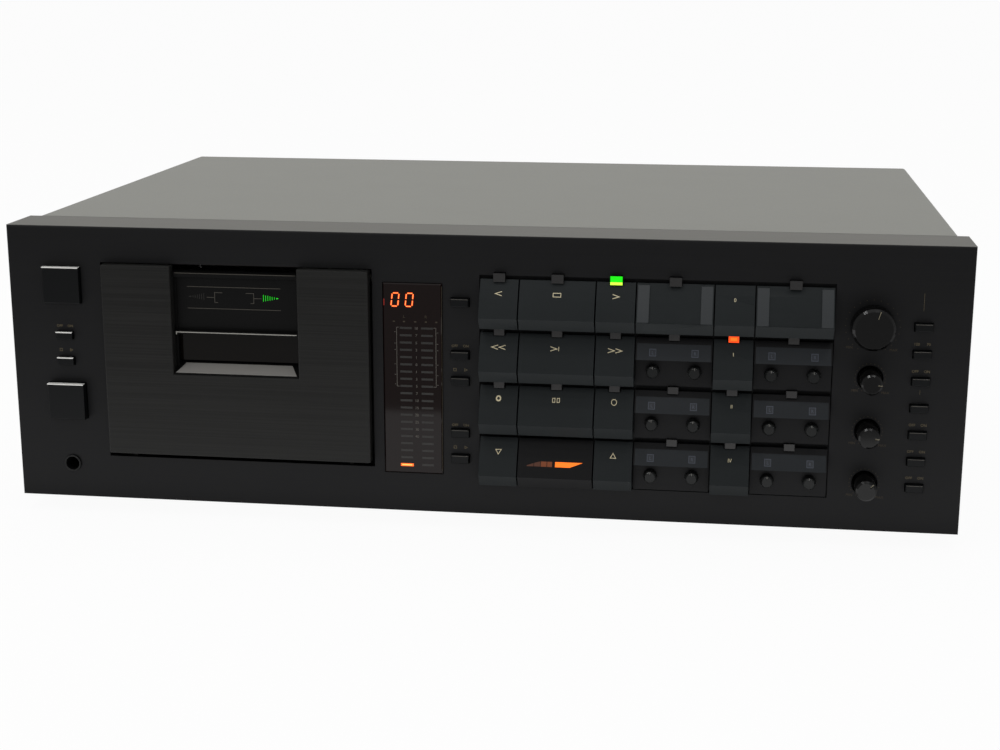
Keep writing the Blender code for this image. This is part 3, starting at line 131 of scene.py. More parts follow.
def sheet_of(left: float, right: float, top: float, bottom: float, rows: int = 6) -> Figure:
    """A filled rectangle cut into rows, so that it can follow a curved surface."""
    v = np.repeat(np.linspace(top, bottom, rows + 1), 2)
    u = np.tile([left, right], rows + 1)
    return Figure(np.column_stack([u, v]), [[2 * i, 2 * i + 1, 2 * i + 3, 2 * i + 2] for i in range(rows)])


def rounded(u: float, half_width: float, half_height: float, radius: float, width: float) -> Figure:
    """An outlined rectangle whose corners are quarter circles, each a centre plus the radius at even angles."""
    angle = np.linspace(0, math.tau / 4, 4)
    turn = np.array([0, 1, 2, 3]) * math.tau / 4
    centre = np.array([[1, 1], [-1, 1], [-1, -1], [1, -1]]) * [half_width - radius, half_height - radius]
    around = (angle[None, :] + turn[:, None])[..., None]
    points = centre[:, None, :] + radius * np.concatenate([np.cos(around), np.sin(around)], axis=2)
    return stroke([(u + x, y) for x, y in points.reshape(-1, 2)], width, closed=True)


def dots(u: float, v: float, radius: float, size: float, degrees: Points) -> Figure:
    """Small six-sided dots at angles clockwise from the top of a circle."""
    around = np.radians(degrees)
    corner = np.arange(6) * math.tau / 6
    points = np.stack([
        u + radius * np.sin(around)[:, None] + size * np.cos(corner)[None, :],
        v - radius * np.cos(around)[:, None] + size * np.sin(corner)[None, :],
    ], axis=2)
    return Figure(points.reshape(-1, 2), [list(range(6 * i, 6 * i + 6)) for i in range(len(around))])


def ring(u: float, v: float, radius: float, width: float, steps: int = 28) -> Figure:
    """A round line: points at even angles, at the radius, joined as a closed stroke."""
    angle = np.linspace(0, math.tau, steps, endpoint=False)
    points = np.column_stack([u + radius * np.cos(angle), v + radius * np.sin(angle)])
    return stroke([tuple(point) for point in points], width, closed=True)


def lettering(text: str, height: float, u: float, v: float, align: str = "CENTER") -> Figure:
    """Plain lettering whose middle is at (u, v).

    Args:
        text: numbers or a short generic word.
        height: height of a capital letter.
        u: place across.
        v: place down.
        align: side that u is measured to.

    Returns:
        The filled letters as one drawing.
    """
    curve = bpy.data.curves.new("lettering", "FONT")
    curve.body = text
    curve.align_x = align
    curve.size = height / 0.72
    curve.resolution_u = 3
    holder = bpy.data.objects.new("lettering", curve)
    bpy.context.scene.collection.objects.link(holder)
    bpy.context.view_layer.update()
    mesh = bpy.data.meshes.new_from_object(holder.evaluated_get(bpy.context.evaluated_depsgraph_get()))
    flat = np.empty(len(mesh.vertices) * 3)
    mesh.vertices.foreach_get("co", flat)
    flat = flat.reshape(-1, 3)
    faces = [list(face.vertices)[::-1] for face in mesh.polygons]
    bpy.data.objects.remove(holder)
    bpy.data.curves.remove(curve)
    bpy.data.meshes.remove(mesh)
    return Figure(np.column_stack([flat[:, 0] + u, v - flat[:, 1] + height / 2]), faces)


def linear(code: str) -> tuple[float, float, float, float]:
    """Linear colour of an sRGB hex value such as #a0b1c2."""
    parts = np.array([int(code[i : i + 2], 16) for i in (1, 3, 5)]) / 255
    curve = np.where(parts <= 0.04045, parts / 12.92, ((parts + 0.055) / 1.055) ** 2.4)
    return (float(curve[0]), float(curve[1]), float(curve[2]), 1.0)


def add(tree: bpy.types.NodeTree, kind: str, values: dict[str, Any] | None = None,
        links: dict[str, Any] | None = None, **settings: Any) -> bpy.types.Node:
    """Adds one node.

    Args:
        tree: the node tree.
        kind: the node's type name.
        values: socket name or number to its value.
        links: socket name or number to the output that feeds it.
        settings: the node's own settings.

    Returns:
        The node.
    """
    made = tree.nodes.new(kind)
    for name, value in settings.items():
        setattr(made, name, value)
    for name, value in (values or {}).items():
        made.inputs[name].default_value = value
    for name, source in (links or {}).items():
        tree.links.new(source, made.inputs[name])
    return made


class Grain(Enum):
    """How a surface was made, which gives its fine relief."""

    SMOOTH = "smooth"
    MOULDED = "moulded"
    BRUSHED = "brushed"
    PAINTED = "painted"
    ROLLED = "rolled"


@dataclass(frozen=True)
class Finish:
    """A finish: a base colour with slight clouding, gloss that varies with it, and fine relief.

    grain_mm is the real spacing of the relief; along_mm is its length on a brushed or rolled
    surface. Relief under about 0.3 mm can't show in the render, so it is drawn at 0.3 mm or more.
    streak is how far the grain changes the colour itself. glare_paint is a lighter colour
    painted above the height glare_paint_from: a painted glare on the top.
    """

    name: str
    colour: str
    roughness: float
    metallic: float = 0.0
    grain: Grain = Grain.MOULDED
    grain_mm: float = 0.35
    along_mm: float = 25.0
    relief: float = 0.08
    clouding: float = 0.10
    gloss_change: float = 0.06
    specular: float = 0.5
    coat: float = 0.0
    glow: str = ""
    glow_strength: float = 0.0
    glare_paint: str = ""
    glare_paint_from: float = 0.0
    streak: float = 0.0

    def build(self) -> bpy.types.Material:
        """The finish as a procedural material.

        Returns:
            The material, with Object coordinates feeding every pattern.
        """
        made = bpy.data.materials.new(self.name)
        made.use_nodes = True
        tree = made.node_tree
        shader = tree.nodes["Principled BSDF"]
        place = add(tree, "ShaderNodeTexCoord").outputs["Object"]
        cloud = add(tree, "ShaderNodeTexNoise", {"Scale": 1 / (38 * MM), "Detail": 3.0, "Roughness": 0.6},
                    {"Vector": place})
        fine = self.relief_pattern(tree, place)
        low, high = 1.0 - self.clouding, 1.0 + self.clouding
        shade = add(tree, "ShaderNodeMapRange", {"To Min": low, "To Max": high}, {"Value": cloud.outputs["Fac"]})
        lines = add(tree, "ShaderNodeMapRange", {"From Min": 0.35, "From Max": 0.65, "To Min": 1.0 - self.streak,
                                                 "To Max": 1.0 + self.streak}, {"Value": fine})
        scale = add(tree, "ShaderNodeMath", {}, {0: shade.outputs["Result"], 1: lines.outputs["Result"]},
                    operation="MULTIPLY")
        tint = add(tree, "ShaderNodeVectorMath", {0: linear(self.colour)[:3]}, {"Scale": scale.outputs[0]},
                   operation="SCALE")
        shown = tint.outputs["Vector"]
        # Painted glare: above its height the colour is swapped for a lighter one, standing in for the sheen on a top
        # face
        if self.glare_paint:
            parts = add(tree, "ShaderNodeSeparateXYZ", {}, {"Vector": place})
            glare_zone = add(tree, "ShaderNodeMath", {1: self.glare_paint_from}, {0: parts.outputs["Z"]}, operation="GREATER_THAN")
            shown = add(tree, "ShaderNodeMix", {7: linear(self.glare_paint)}, {0: glare_zone.outputs[0], 6: shown},
                        data_type="RGBA").outputs[2]
        tree.links.new(shown, shader.inputs["Base Color"])
        gloss = add(tree, "ShaderNodeMapRange",
                    {"To Min": max(self.roughness - self.gloss_change, 0.02),
                     "To Max": self.roughness + self.gloss_change}, {"Value": fine})
        tree.links.new(gloss.outputs["Result"], shader.inputs["Roughness"])
        shader.inputs["Metallic"].default_value = self.metallic
        shader.inputs["Specular IOR Level"].default_value = self.specular
        shader.inputs["Coat Weight"].default_value = self.coat
        shader.inputs["Coat Roughness"].default_value = 0.08
        if self.glow:
            shader.inputs["Emission Color"].default_value = linear(self.glow)
            shader.inputs["Emission Strength"].default_value = self.glow_strength
        if self.relief:
            bump = add(tree, "ShaderNodeBump", {"Strength": self.relief, "Distance": 0.05 * MM}, {"Height": fine})
            tree.links.new(bump.outputs["Normal"], shader.inputs["Normal"])
        return made

    def relief_pattern(self, tree: bpy.types.NodeTree, place: bpy.types.NodeSocket) -> bpy.types.NodeSocket:
        """Noise of the finish's grain: stretched along X where the surface is brushed or rolled."""
        spacing = max(self.grain_mm, 0.3) * MM
        along = self.along_mm * MM if self.grain in (Grain.BRUSHED, Grain.ROLLED) else spacing
        scale = (1 / along, 1 / spacing, 1 / spacing)
        mapped = add(tree, "ShaderNodeMapping", {"Scale": scale}, {"Vector": place})
        noise = add(tree, "ShaderNodeTexNoise", {"Scale": 1.0, "Detail": 2.0}, {"Vector": mapped.outputs["Vector"]})
        return noise.outputs["Fac"]


# Black anodised aluminium, wire brushed before it was dyed: streaks across, a soft sheen; the top return is painted
# light grey, a painted glare where it faces up
PANEL_FINISH = Finish("black_anodised_panel", "#0d0d0e", 0.52, 0.0, Grain.BRUSHED, 0.35, 60.0, 0.05, 0.10, 0.05, 0.08,
                      glare_paint="#64635e", glare_paint_from=PANEL_TOP - 0.05 * MM, streak=0.12)
DOOR_FINISH = Finish("brushed_anodised_door", "#191918", 0.42, 0.0, Grain.BRUSHED, 0.7, 110.0, 0.50, 0.12, 0.10, 0.08,
                     streak=0.22)
# Sheet steel with a satin warm grey stove enamel: even, with a faint orange peel
COVER_FINISH = Finish("grey_enamel_cover", "#74746d", 0.50, 0.0, Grain.PAINTED, 0.6, 1.0, 0.10, 0.04, 0.05, 0.25)
CHASSIS_FINISH = Finish("zinc_plated_steel", "#9a9a94", 0.38, 0.8, Grain.ROLLED, 0.6, 14.0, 0.12, 0.04, 0.08)
# Steel plate under a black phosphate, so that nothing shines behind the door
PLATE_FINISH = Finish("black_phosphated_steel", "#1b1a19", 0.60, 0.0, Grain.ROLLED, 0.5, 12.0, 0.12, 0.14, 0.06, 0.2)
# ABS from a spark-eroded mould: a fine even matt
MOULDING_FINISH = Finish("black_abs_moulding", "#0d0d0e", 0.45, 0.0, Grain.MOULDED, 0.35, 1.0, 0.10, 0.08, 0.06, 0.07)
HOLDER_FINISH = Finish("dark_abs_holder", "#080808", 0.42, 0.0, Grain.MOULDED, 0.35, 1.0, 0.10, 0.08, 0.06, 0.05)
KEY_FINISH = Finish("grey_abs_keys", "#1f2223", 0.46, 0.0, Grain.MOULDED, 0.35, 1.0, 0.12, 0.16, 0.06, 0.06)
KEY_SIDE_FINISH = Finish("polished_key_side", "#2a2d2f", 0.34, 0.0, Grain.MOULDED, 0.35, 1.0, 0.06, 0.10, 0.05, 0.2)
BUTTON_FINISH = Finish("black_abs_buttons", "#0a0b0c", 0.38, 0.0, Grain.MOULDED, 0.35, 1.0, 0.08, 0.08, 0.05, 0.06)
KNOB_FINISH = Finish("turned_black_knob", "#080808", 0.10, 0.0, Grain.MOULDED, 0.3, 1.0, 0.02, 0.08, 0.03, 0.11)
TRIMMER_FINISH = Finish("black_acetal_trimmer", "#161717", 0.28, 0.0, Grain.MOULDED, 0.3, 1.0, 0.03, 0.08, 0.04, 0.09)
# Acrylic dyed smoke brown: nearly black with a mirror face
SMOKED_FINISH = Finish("smoked_acrylic", "#120706", 0.07, 0.0, Grain.SMOOTH, 0.6, 1.0, 0.01, 0.05, 0.02, 0.09)
LENS_FINISH = Finish("smoked_holder_lens", "#0c0907", 0.08, 0.0, Grain.SMOOTH, 0.6, 1.0, 0.01, 0.05, 0.02, 0.09)
SPINDLE_FINISH = Finish("acetal_spindle", "#4a4946", 0.45, 0.0, Grain.MOULDED, 0.35, 1.0, 0.08, 0.06, 0.05)
# Painted reflection: a light grey sheet stands in for the glare on the sill; a light line is a painted highlight along
# the lens's top edge
SILL_REFLECTION_PAINT = Finish("painted_sill_reflection", "#72706c", 0.40, 0.0, Grain.BRUSHED, 0.35, 30.0, 0.10, 0.06, 0.06, 0.4)
# Painted highlight of the lens's top edge
LENS_HIGHLIGHT_PAINT = Finish("painted_lens_highlight", "#98968f", 0.25, 0.0, Grain.BRUSHED, 0.3, 20.0, 0.05, 0.05, 0.05, 0.5)
# Silk-screen inks
GOLD_INK = Finish("gold_ink", "#cbbf9c", 0.55, 0.0, Grain.SMOOTH, 0.4, 1.0, 0.0, 0.10, 0.04)
FAINT_INK = Finish("faint_gold_ink", "#5b513c", 0.60, 0.0, Grain.SMOOTH, 0.4, 1.0, 0.0, 0.10, 0.04, 0.2)
DIM_INK = Finish("dim_gold_ink", "#332c20", 0.60, 0.0, Grain.SMOOTH, 0.4, 1.0, 0.0, 0.10, 0.04, 0.15)
DISPLAY_INK = Finish("greyish_display_ink", "#403d37", 0.60, 0.0, Grain.SMOOTH, 0.4, 1.0, 0.0, 0.10, 0.04, 0.15)
BAND_FINISH = Finish("bluish_cell_band", "#1b1e21", 0.42, 0.0, Grain.MOULDED, 0.35, 1.0, 0.10, 0.10, 0.06, 0.12)
BLUE_INK = Finish("bluish_grey_ink", "#464a54", 0.60, 0.0, Grain.SMOOTH, 0.4, 1.0, 0.0, 0.10, 0.04, 0.2)
BOX_INK = Finish("dark_bluish_ink", "#25282d", 0.60, 0.0, Grain.SMOOTH, 0.4, 1.0, 0.0, 0.10, 0.04, 0.2)
SCALE_INK = Finish("grey_scale_ink", "#57534d", 0.60, 0.0, Grain.SMOOTH, 0.4, 1.0, 0.0, 0.10, 0.04, 0.2)
KNOB_INK = Finish("cream_knob_ink", "#6a6350", 0.50, 0.0, Grain.SMOOTH, 0.4, 1.0, 0.0, 0.06, 0.04, 0.3)
POINTER_INK = Finish("grey_pointer_ink", "#5c5b57", 0.50, 0.0, Grain.SMOOTH, 0.4, 1.0, 0.0, 0.06, 0.04, 0.3)
# Lamps, lit and dark
GREEN_LIT = Finish("lit_green_lens", "#0fa008", 0.35, glow="#10e000", glow_strength=0.95, relief=0.0, specular=0.2)
GREEN_EDGE = Finish("lit_green_edge", "#8fd020", 0.35, glow="#d0ff48", glow_strength=1.1, relief=0.0, specular=0.2)
GREEN_ARROW = Finish("lit_green_arrow", "#0c8010", 0.35, glow="#12d818", glow_strength=0.9, relief=0.0, specular=0.2)
AMBER_LIT = Finish("lit_amber_lens", "#c83c08", 0.35, glow="#ff4a08", glow_strength=1.0, relief=0.0, specular=0.2)
AMBER_CORE = Finish("lit_amber_core", "#d86414", 0.35, glow="#ff6c14", glow_strength=1.0, relief=0.0, specular=0.2)
LAMP_DARK = Finish("dark_lamp_lens", "#1e1d1d", 0.35, relief=0.02, specular=0.2)
RED_DIGIT = Finish("lit_red_segment", "#c02008", 0.4, glow="#ff2c0c", glow_strength=1.15, relief=0.0, specular=0.2)
RED_TICK = Finish("dim_red_tick", "#601008", 0.4, glow="#801408", glow_strength=0.6, relief=0.0, specular=0.2)
ORANGE_BAR = Finish("lit_orange_bar", "#c84a10", 0.4, glow="#ff6a1c", glow_strength=1.0, relief=0.0, specular=0.2)
ORANGE_CORE = Finish("lit_orange_core", "#e09040", 0.4, glow="#ffc060", glow_strength=1.1, relief=0.0, specular=0.2)
WEDGE_LIT = Finish("lit_orange_wedge", "#c05010", 0.4, glow="#ff7a1c", glow_strength=1.0, relief=0.0, specular=0.2)
WEDGE_DIM = Finish("dim_orange_wedge", "#3a1c0c", 0.4, glow="#7a3a10", glow_strength=0.6, relief=0.0, specular=0.2)
WEDGE_FAINT = Finish("faint_orange_wedge", "#2a160c", 0.4, glow="#4a2410", glow_strength=0.6, relief=0.0, specular=0.2)
BAR_DARK = Finish("dark_meter_bar", "#171513", 0.45, relief=0.02, specular=0.2)
SHADE_DARK = Finish("dark_display_segment", "#181613", 0.45, relief=0.02, specular=0.2)
# Nickel-plated brass, polished before plating
CHROME = Finish("bright_nickel", "#d6d4cf", 0.14, 1.0, Grain.SMOOTH, 0.4, 1.0, 0.01, 0.03, 0.04)
DARK_CHROME = Finish("black_nickel", "#161616", 0.42, 0.0, Grain.SMOOTH, 0.4, 1.0, 0.01, 0.04, 0.05, 0.08)
SCREW_FINISH = Finish("black_zinc_screw", "#2a2a2a", 0.35, 0.7, Grain.SMOOTH, 0.4, 1.0, 0.02, 0.06, 0.06)
RUBBER = Finish("black_rubber", "#161616", 0.75, 0.0, Grain.MOULDED, 0.5, 1.0, 0.2, 0.12, 0.08, 0.3)
WHITE_RING = Finish("white_polystyrene_ring", "#c9c7c0", 0.40, 0.0, Grain.MOULDED, 0.35, 1.0, 0.05, 0.05, 0.05)
RED_RING = Finish("red_polystyrene_ring", "#a3211c", 0.40, 0.0, Grain.MOULDED, 0.35, 1.0, 0.05, 0.05, 0.05)
# Painted highlight: a near-white strip stands in for the light caught by the left buttons' top edges
HIGHLIGHT_STRIP_PAINT = Finish("polished_edge_strip", "#f0efeb", 0.25, 0.0, Grain.BRUSHED, 0.3, 20.0, 0.03, 0.03, 0.05, 0.5)


class Workshop:
    """Holds the materials made so far, and turns drawings and profiles into pieces on a body."""

    def __init__(self) -> None:
        """Starts with no materials made."""
        self.made: dict[str, bpy.types.Material] = {}

    def finish(self, finish: Finish) -> bpy.types.Material:
        """The material of a finish, made once."""
        if finish.name not in self.made:
            self.made[finish.name] = finish.build()
        return self.made[finish.name]

    def piece(self, name: str, points: Points, faces: Sequence[Sequence[int]], finish: Finish, body: str,
              slot: str = "", smooth: bool = False) -> bpy.types.Object:
        """Makes a mesh object from arrays and puts it on a body.

        Args:
            name: the piece's name.
            points: rows of (x, y, z).
            faces: row numbers of each face's corners.
            finish: its finish.
            body: the CAD body it rides on.
            slot: not used.
            smooth: whether it is shaded smooth up to 35 degrees.

        Returns:
            The object, at the origin.
        """
        mesh = bpy.data.meshes.new(name)
        mesh.from_pydata(points.tolist(), [], [list(face) for face in faces])
        mesh.update()
        if smooth:
            mesh.shade_smooth()
            mesh.set_sharp_from_angle(angle=math.radians(35))
        mesh.materials.append(self.finish(finish))
        made = bpy.data.objects.new(name, mesh)
        bpy.context.scene.collection.objects.link(made)
        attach(made, body)
        LOG.info("%s: %d faces on body %s", name, len(mesh.polygons), body)
        return made

    def print(self, name: str, figure: Figure, surface: Surface, finish: Finish, body: str,
              lift: float = PRINT_LIFT, thickness: float = PRINT_THICKNESS) -> bpy.types.Object:
        """Lays a drawing on a surface as a thin raised print.

        The drawing's points are placed on the surface, moved out by the lift, and copied
        outwards by the thickness; the two sheets are joined along every open edge.

        Args:
            name: the piece's name.
            figure: the flat drawing.
            surface: turns u and v into points in the row frame.
            finish: its ink or lens.
            body: the CAD body it rides on.
            lift: gap under the print.
            thickness: thickness of the print.

        Returns:
            The object.
        """
        base = surface(figure.points[:, 0], figure.points[:, 1])
        inner = base - np.array([0.0, lift, 0.0])
        outer = inner - np.array([0.0, thickness, 0.0])
        count = len(base)
        area = self.turn_of(figure)
        front = [[i + count for i in (face if turn > 0 else face[::-1])] for face, turn in zip(figure.faces, area)]
        back = [[i - count for i in face[::-1]] for face in front]
        edges = {}
        for face in front:
            for a, b in zip(face, face[1:] + face[:1]):
                edges[(a, b)] = edges.get((a, b), 0) + 1
        walls = [[b, a, a - count, b - count] for a, b in edges if (b, a) not in edges]
        return self.piece(name, np.vstack([inner, outer]), front + back + walls, finish, body)

    @staticmethod
    def turn_of(figure: Figure) -> list[float]:
        """Signed area of each face: half the sum of u times next v less next u times v."""
        found = []
        for face in figure.faces:
            u, v = figure.points[face].T
            found.append(float(np.sum(u * np.roll(v, -1) - np.roll(u, -1) * v)))
        return found

    def turned(self, name: str, profile: Sequence[tuple[float, float]], centre: tuple[float, float],
               finish: Finish, body: str, steps: int = 48, axis: str = "Y") -> bpy.types.Object:
        """A turned piece: a profile of (radius, depth) carried round a line along Y or Z.

        Each ring is radius times cosine and sine of the angle, at its own depth. Points at radius
        zero become one pole.

        Args:
            name: the piece's name.
            profile: (radius, depth) from one pole to the other.
            centre: (x, z) of an axis along Y, or (x, y) of one along Z.
            finish: its finish.
            body: the CAD body it rides on.
            steps: points round.
            axis: Y or Z.

        Returns:
            The object.
        """
        points, faces = turned_arrays(profile, centre, steps, axis)
        return self.piece(name, points, faces, finish, body, smooth=True)

    def dress(self, node: str, finish: Finish) -> bpy.types.Object:
        """Gives a CAD node its finish."""
        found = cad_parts[node]
        found.data.materials.clear()
        found.data.materials.append(self.finish(finish))
        return found

    def soften(self, node: str, width: float, segments: int = 2) -> None:
        """Rounds a CAD node's sharp edges: its points are welded, then a bevel follows each corner over 30 degrees."""
        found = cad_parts[node]
        weld = found.modifiers.new("weld", "WELD")
        weld.merge_threshold = 0.002 * MM
        bevel = found.modifiers.new("highlight_line", "BEVEL")
        bevel.width = width
        bevel.segments = segments
        bevel.limit_method = "ANGLE"
        bevel.angle_limit = math.radians(30)
        bevel.harden_normals = True


def turned_arrays(profile: Sequence[tuple[float, float]], centre: tuple[float, float], steps: int,
                  axis: str) -> tuple[Points, list[list[int]]]:
    """Points and faces of a turned surface whose ends are closed at poles of radius zero.

    Args:
        profile: (radius, depth) from pole to pole.
        centre: the axis's place.
        steps: points round.
        axis: Y or Z.

    Returns:
        The points and the faces, which point outwards for a profile that runs from the lowest depth up.
    """
    line = np.asarray(profile, float)
    angle = np.linspace(0, math.tau, steps, endpoint=False)
    inner = line[1:-1]
    first = np.outer(inner[:, 0], np.cos(angle)).ravel()
    second = np.outer(inner[:, 0], np.sin(angle)).ravel()
    depth = np.repeat(inner[:, 1], steps)
    first = np.concatenate([[0.0], first, [0.0]]) + centre[0]
    second = np.concatenate([[0.0], second, [0.0]]) + centre[1]
    depth = np.concatenate([[line[0, 1]], depth, [line[-1, 1]]])
    points = np.column_stack([first, depth, second] if axis == "Y" else [first, second, depth])
    rows = len(inner)
    after = [(i + 1) % steps for i in range(steps)]
    faces = [[0, 1 + after[i], 1 + i] for i in range(steps)]
    for row in range(rows - 1):
        low, high = 1 + row * steps, 1 + (row + 1) * steps
        faces += [[low + i, low + after[i], high + after[i], high + i] for i in range(steps)]
    last, pole = 1 + (rows - 1) * steps, 1 + rows * steps
    faces += [[pole, last + i, last + after[i]] for i in range(steps)]
    if axis == "Y":
        faces = [face[::-1] for face in faces]
    return points, faces


def across(u: float) -> float:
    """X of a panel place."""
    return u - PANEL_WIDTH / 2


def height(v: float) -> float:
    """Z of a panel place."""
    return PANEL_TOP - v


@dataclass(frozen=True)
class Spot:
    """Where a node lies on the panel, and how far it stands out."""

    left: float
    right: float
    top: float
    bottom: float
    proud: float

    @property
    def u(self) -> float:
        """Middle, across the panel."""
        return (self.left + self.right) / 2

    @property
    def v(self) -> float:
        """Middle, down the panel."""
        return (self.top + self.bottom) / 2


def spot(node: str) -> Spot:
    """The place of a node, from its box in the frame."""
    low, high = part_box(node)
    half = PANEL_WIDTH / 2
    return Spot(low.x + half, high.x + half, PANEL_TOP - high.z, PANEL_TOP - low.z, FACE_Y - low.y)


def flat_at(depth: float) -> Surface:
    """A flat surface facing the front at a depth behind the panel's face."""

    def surface(u: Points, v: Points) -> Points:
        """Points at the depth, at X and Z of the panel place."""
        return np.column_stack([u - PANEL_WIDTH / 2, np.full(len(u), FACE_Y + depth), PANEL_TOP - v])

    return surface


@dataclass
class KeyBlock:
    """Wedge-shaped keys in four rows: their finish, legends, lamps, trimmer cells and fader display."""

    crest_drop: float = 16.9 * MM
    top_proud: float = 0.5 * MM
    crest_proud: float = 9.0 * MM
    bulge: float = 0.5 * MM
    legend_drops: tuple[float, ...] = (6.0 * MM, 6.1 * MM, 5.5 * MM, 6.1 * MM)
    line: float = 0.30 * MM
    tab_widths: tuple[float, ...] = (5.5 * MM, 4.7 * MM, 4.7 * MM, 4.7 * MM)
    tab_rises: tuple[float, ...] = (3.05 * MM, 2.25 * MM, 2.25 * MM, 2.25 * MM)
    tab_proud: float = 2.0 * MM
    tab_fall: float = 0.95 * MM
    green_foot: float = 1.3 * MM
    side_width: float = 5.2 * MM
    side_rows: tuple[float, float] = (0.8 * MM, 16.6 * MM)
    band_rows: tuple[float, float] = (2.6 * MM, 9.6 * MM)
    cell_width: float = 33.6 * MM
    names: tuple[tuple[str, ...], ...] = (
        ("reverse_play_key", "stop_key", "forward_play_key", "level_key", "calibration_reset_key", "bias_key"),
        ("rewind_key", "cue_key", "fast_forward_key", "", "tape_type_1_key", ""),
        ("record_mute_key", "pause_key", "record_key", "", "tape_type_2_key", ""),
        ("fade_down_key", "", "fade_up_key", "", "tape_type_3_key", ""),
    )
    lamp_columns: tuple[tuple[int, ...], ...] = ((0, 1, 2, 3, 5), (0, 1, 2, 3, 4, 5), (0, 1, 2, 3, 4, 5), (3, 4, 5))
    green_at: tuple[int, int] = (2, 0)
    amber_at: tuple[int, int] = (4, 1)

    def centre(self, column: int) -> float:
        """Middle of a column, from the key at its head."""
        return spot(self.names[0][column]).u

    def top(self, row: int) -> float:
        """Top of a row, from the key at its left end."""
        return spot(self.names[row][0]).top

    def slope(self, row: int) -> Surface:
        """The sloped, slightly bulged face of a row's keys.

        It stands out by the top's height plus the share of the way to the crest times the rise,
        plus four times the bulge times the share times one less the share.
        """
        top = self.top(row)

        def surface(u: Points, v: Points) -> Points:
            """Points on the slope at a panel place."""
            share = (v - top) / self.crest_drop
            proud = self.top_proud + (self.crest_proud - self.top_proud) * share
            proud = proud + 4 * self.bulge * share * (1 - share)
            return np.column_stack([u - PANEL_WIDTH / 2, FACE_Y - proud, PANEL_TOP - v])

        return surface

    def arrow(self, u: float, way: int) -> Figure:
        """An open arrowhead pointing left or right."""
        back, half = way * 1.5 * MM, 0.9 * MM
        return stroke([(u - back, -half), (u + back, 0), (u - back, half)], self.line)

    def outline(self, u: float, half_width: float, half_height: float) -> Figure:
        """An outlined rectangle."""
        corners = [(u - half_width, -half_height), (u + half_width, -half_height),
                   (u + half_width, half_height), (u - half_width, half_height)]
        return stroke(corners, self.line, closed=True)

    def triangle(self, way: int) -> Figure:
        """An outlined triangle pointing up or down."""
        corners = [(-1.3 * MM, way * 0.9 * MM), (1.3 * MM, way * 0.9 * MM), (0, -way * 1.1 * MM)]
        return stroke(corners, self.line, closed=True)

    def symbols(self) -> dict[str, Figure]:
        """Each key's legend about its own middle: play, stop, wind, pause and record signs, and type numbers."""
        numeral = 1.6 * MM
        return {
            "reverse_play_key": self.arrow(0, -1),
            "stop_key": self.outline(0, 1.75 * MM, 0.78 * MM),
            "forward_play_key": self.arrow(0, 1),
            "rewind_key": together([self.arrow(-1.75 * MM, -1), self.arrow(1.75 * MM, -1)]),
            "cue_key": together([self.arrow(-1.3 * MM, 1), bar(0.9 * MM, 1.2 * MM, -0.9 * MM, 0.9 * MM)]),
            "fast_forward_key": together([self.arrow(-1.75 * MM, 1), self.arrow(1.75 * MM, 1)]),
            "record_mute_key": ring(0, 0, 0.95 * MM, 0.62 * MM),
            "pause_key": together([self.outline(-1.05 * MM, 0.55 * MM, 0.85 * MM),
                                   self.outline(1.05 * MM, 0.55 * MM, 0.85 * MM)]),
            "record_key": ring(0, 0, 1.2 * MM, self.line),
            "tape_type_1_key": lettering("I", numeral, 0, 0),
            "tape_type_2_key": lettering("II", numeral, 0, 0),
            "tape_type_3_key": lettering("IV", numeral, 0, 0),
            "fade_down_key": self.triangle(-1),
            "fade_up_key": self.triangle(1),
            "calibration_reset_key": lettering("0", numeral, 0, 0),
        }

    def build(self, shop: Workshop) -> None:
        """Dresses the block.

        Args:
            shop: the workshop that makes the pieces.
        """
        shop.dress("key_frame", MOULDING_FINISH)
        symbols = self.symbols()
        for row, names in enumerate(self.names):
            for column, name in enumerate(names):
                if not name:
                    continue
                shop.dress(name, KEY_FINISH)
                shop.soften(name, 0.3 * MM)
                if name in symbols:
                    figure = symbols[name].moved(self.centre(column), self.top(row) + self.legend_drops[row])
                    shop.print(f"{name}_legend", figure, self.slope(row), GOLD_INK, name)
        self.build_sides(shop)
        self.build_lamps(shop)
        self.build_cells(shop)
        self.build_fader(shop)

    def build_sides(self, shop: Workshop) -> None:
        """Lays the polished zones at both sides of the two wide calibration keys."""
        for name in ("level_key", "bias_key"):
            key, highlight_line = spot(name), 0.5 * MM
            rows = [key.top + drop for drop in self.side_rows]
            zones = [sheet_of(key.left + highlight_line, key.left + highlight_line + self.side_width, *rows),
                     sheet_of(key.right - highlight_line - self.side_width, key.right - highlight_line, *rows)]
            shop.print(f"{name}_sides", together(zones), self.slope(0), KEY_SIDE_FINISH, name, lift=0.0)

    def tab(self, column: int, row: int) -> tuple[float, float, float, float]:
        """Left, right, top and bottom of a lamp tab's lens."""
        middle, top, half = self.centre(column), self.top(row), self.tab_widths[row] / 2
        return (middle - half, middle + half, top - self.tab_rises[row], top + self.tab_fall)

    def build_lamps(self, shop: Workshop) -> None:
        """Puts a lens over each lamp tab: dark ones as one piece, and each lit one with its brighter part."""
        places = [(column, row) for row, columns in enumerate(self.lamp_columns) for column in columns]
        dark = [bar(*self.tab(*place)) for place in places if place not in (self.green_at, self.amber_at)]
        face = flat_at(-self.tab_proud)
        shop.print("dark_lamps", together(dark), face, LAMP_DARK, "deck", thickness=0.25 * MM)
        left, right, top, bottom = self.tab(*self.green_at)
        shop.print("lit_green_lamp", bar(left, right, top, bottom - self.green_foot), face, GREEN_LIT, "deck", thickness=0.25 * MM)
        shop.print("lit_green_foot", bar(left, right, bottom - self.green_foot, bottom), face, GREEN_EDGE, "deck",
                   thickness=0.25 * MM)
        left, right, top, bottom = self.tab(*self.amber_at)
        shop.print("lit_amber_lamp", bar(left, right, top, bottom), face, AMBER_LIT, "deck", thickness=0.25 * MM)
        inset = 0.9 * MM
        shop.print("lit_amber_core", bar(left + inset, right - inset, top + inset, bottom - inset), face, AMBER_CORE,
                   "deck", lift=0.29 * MM)

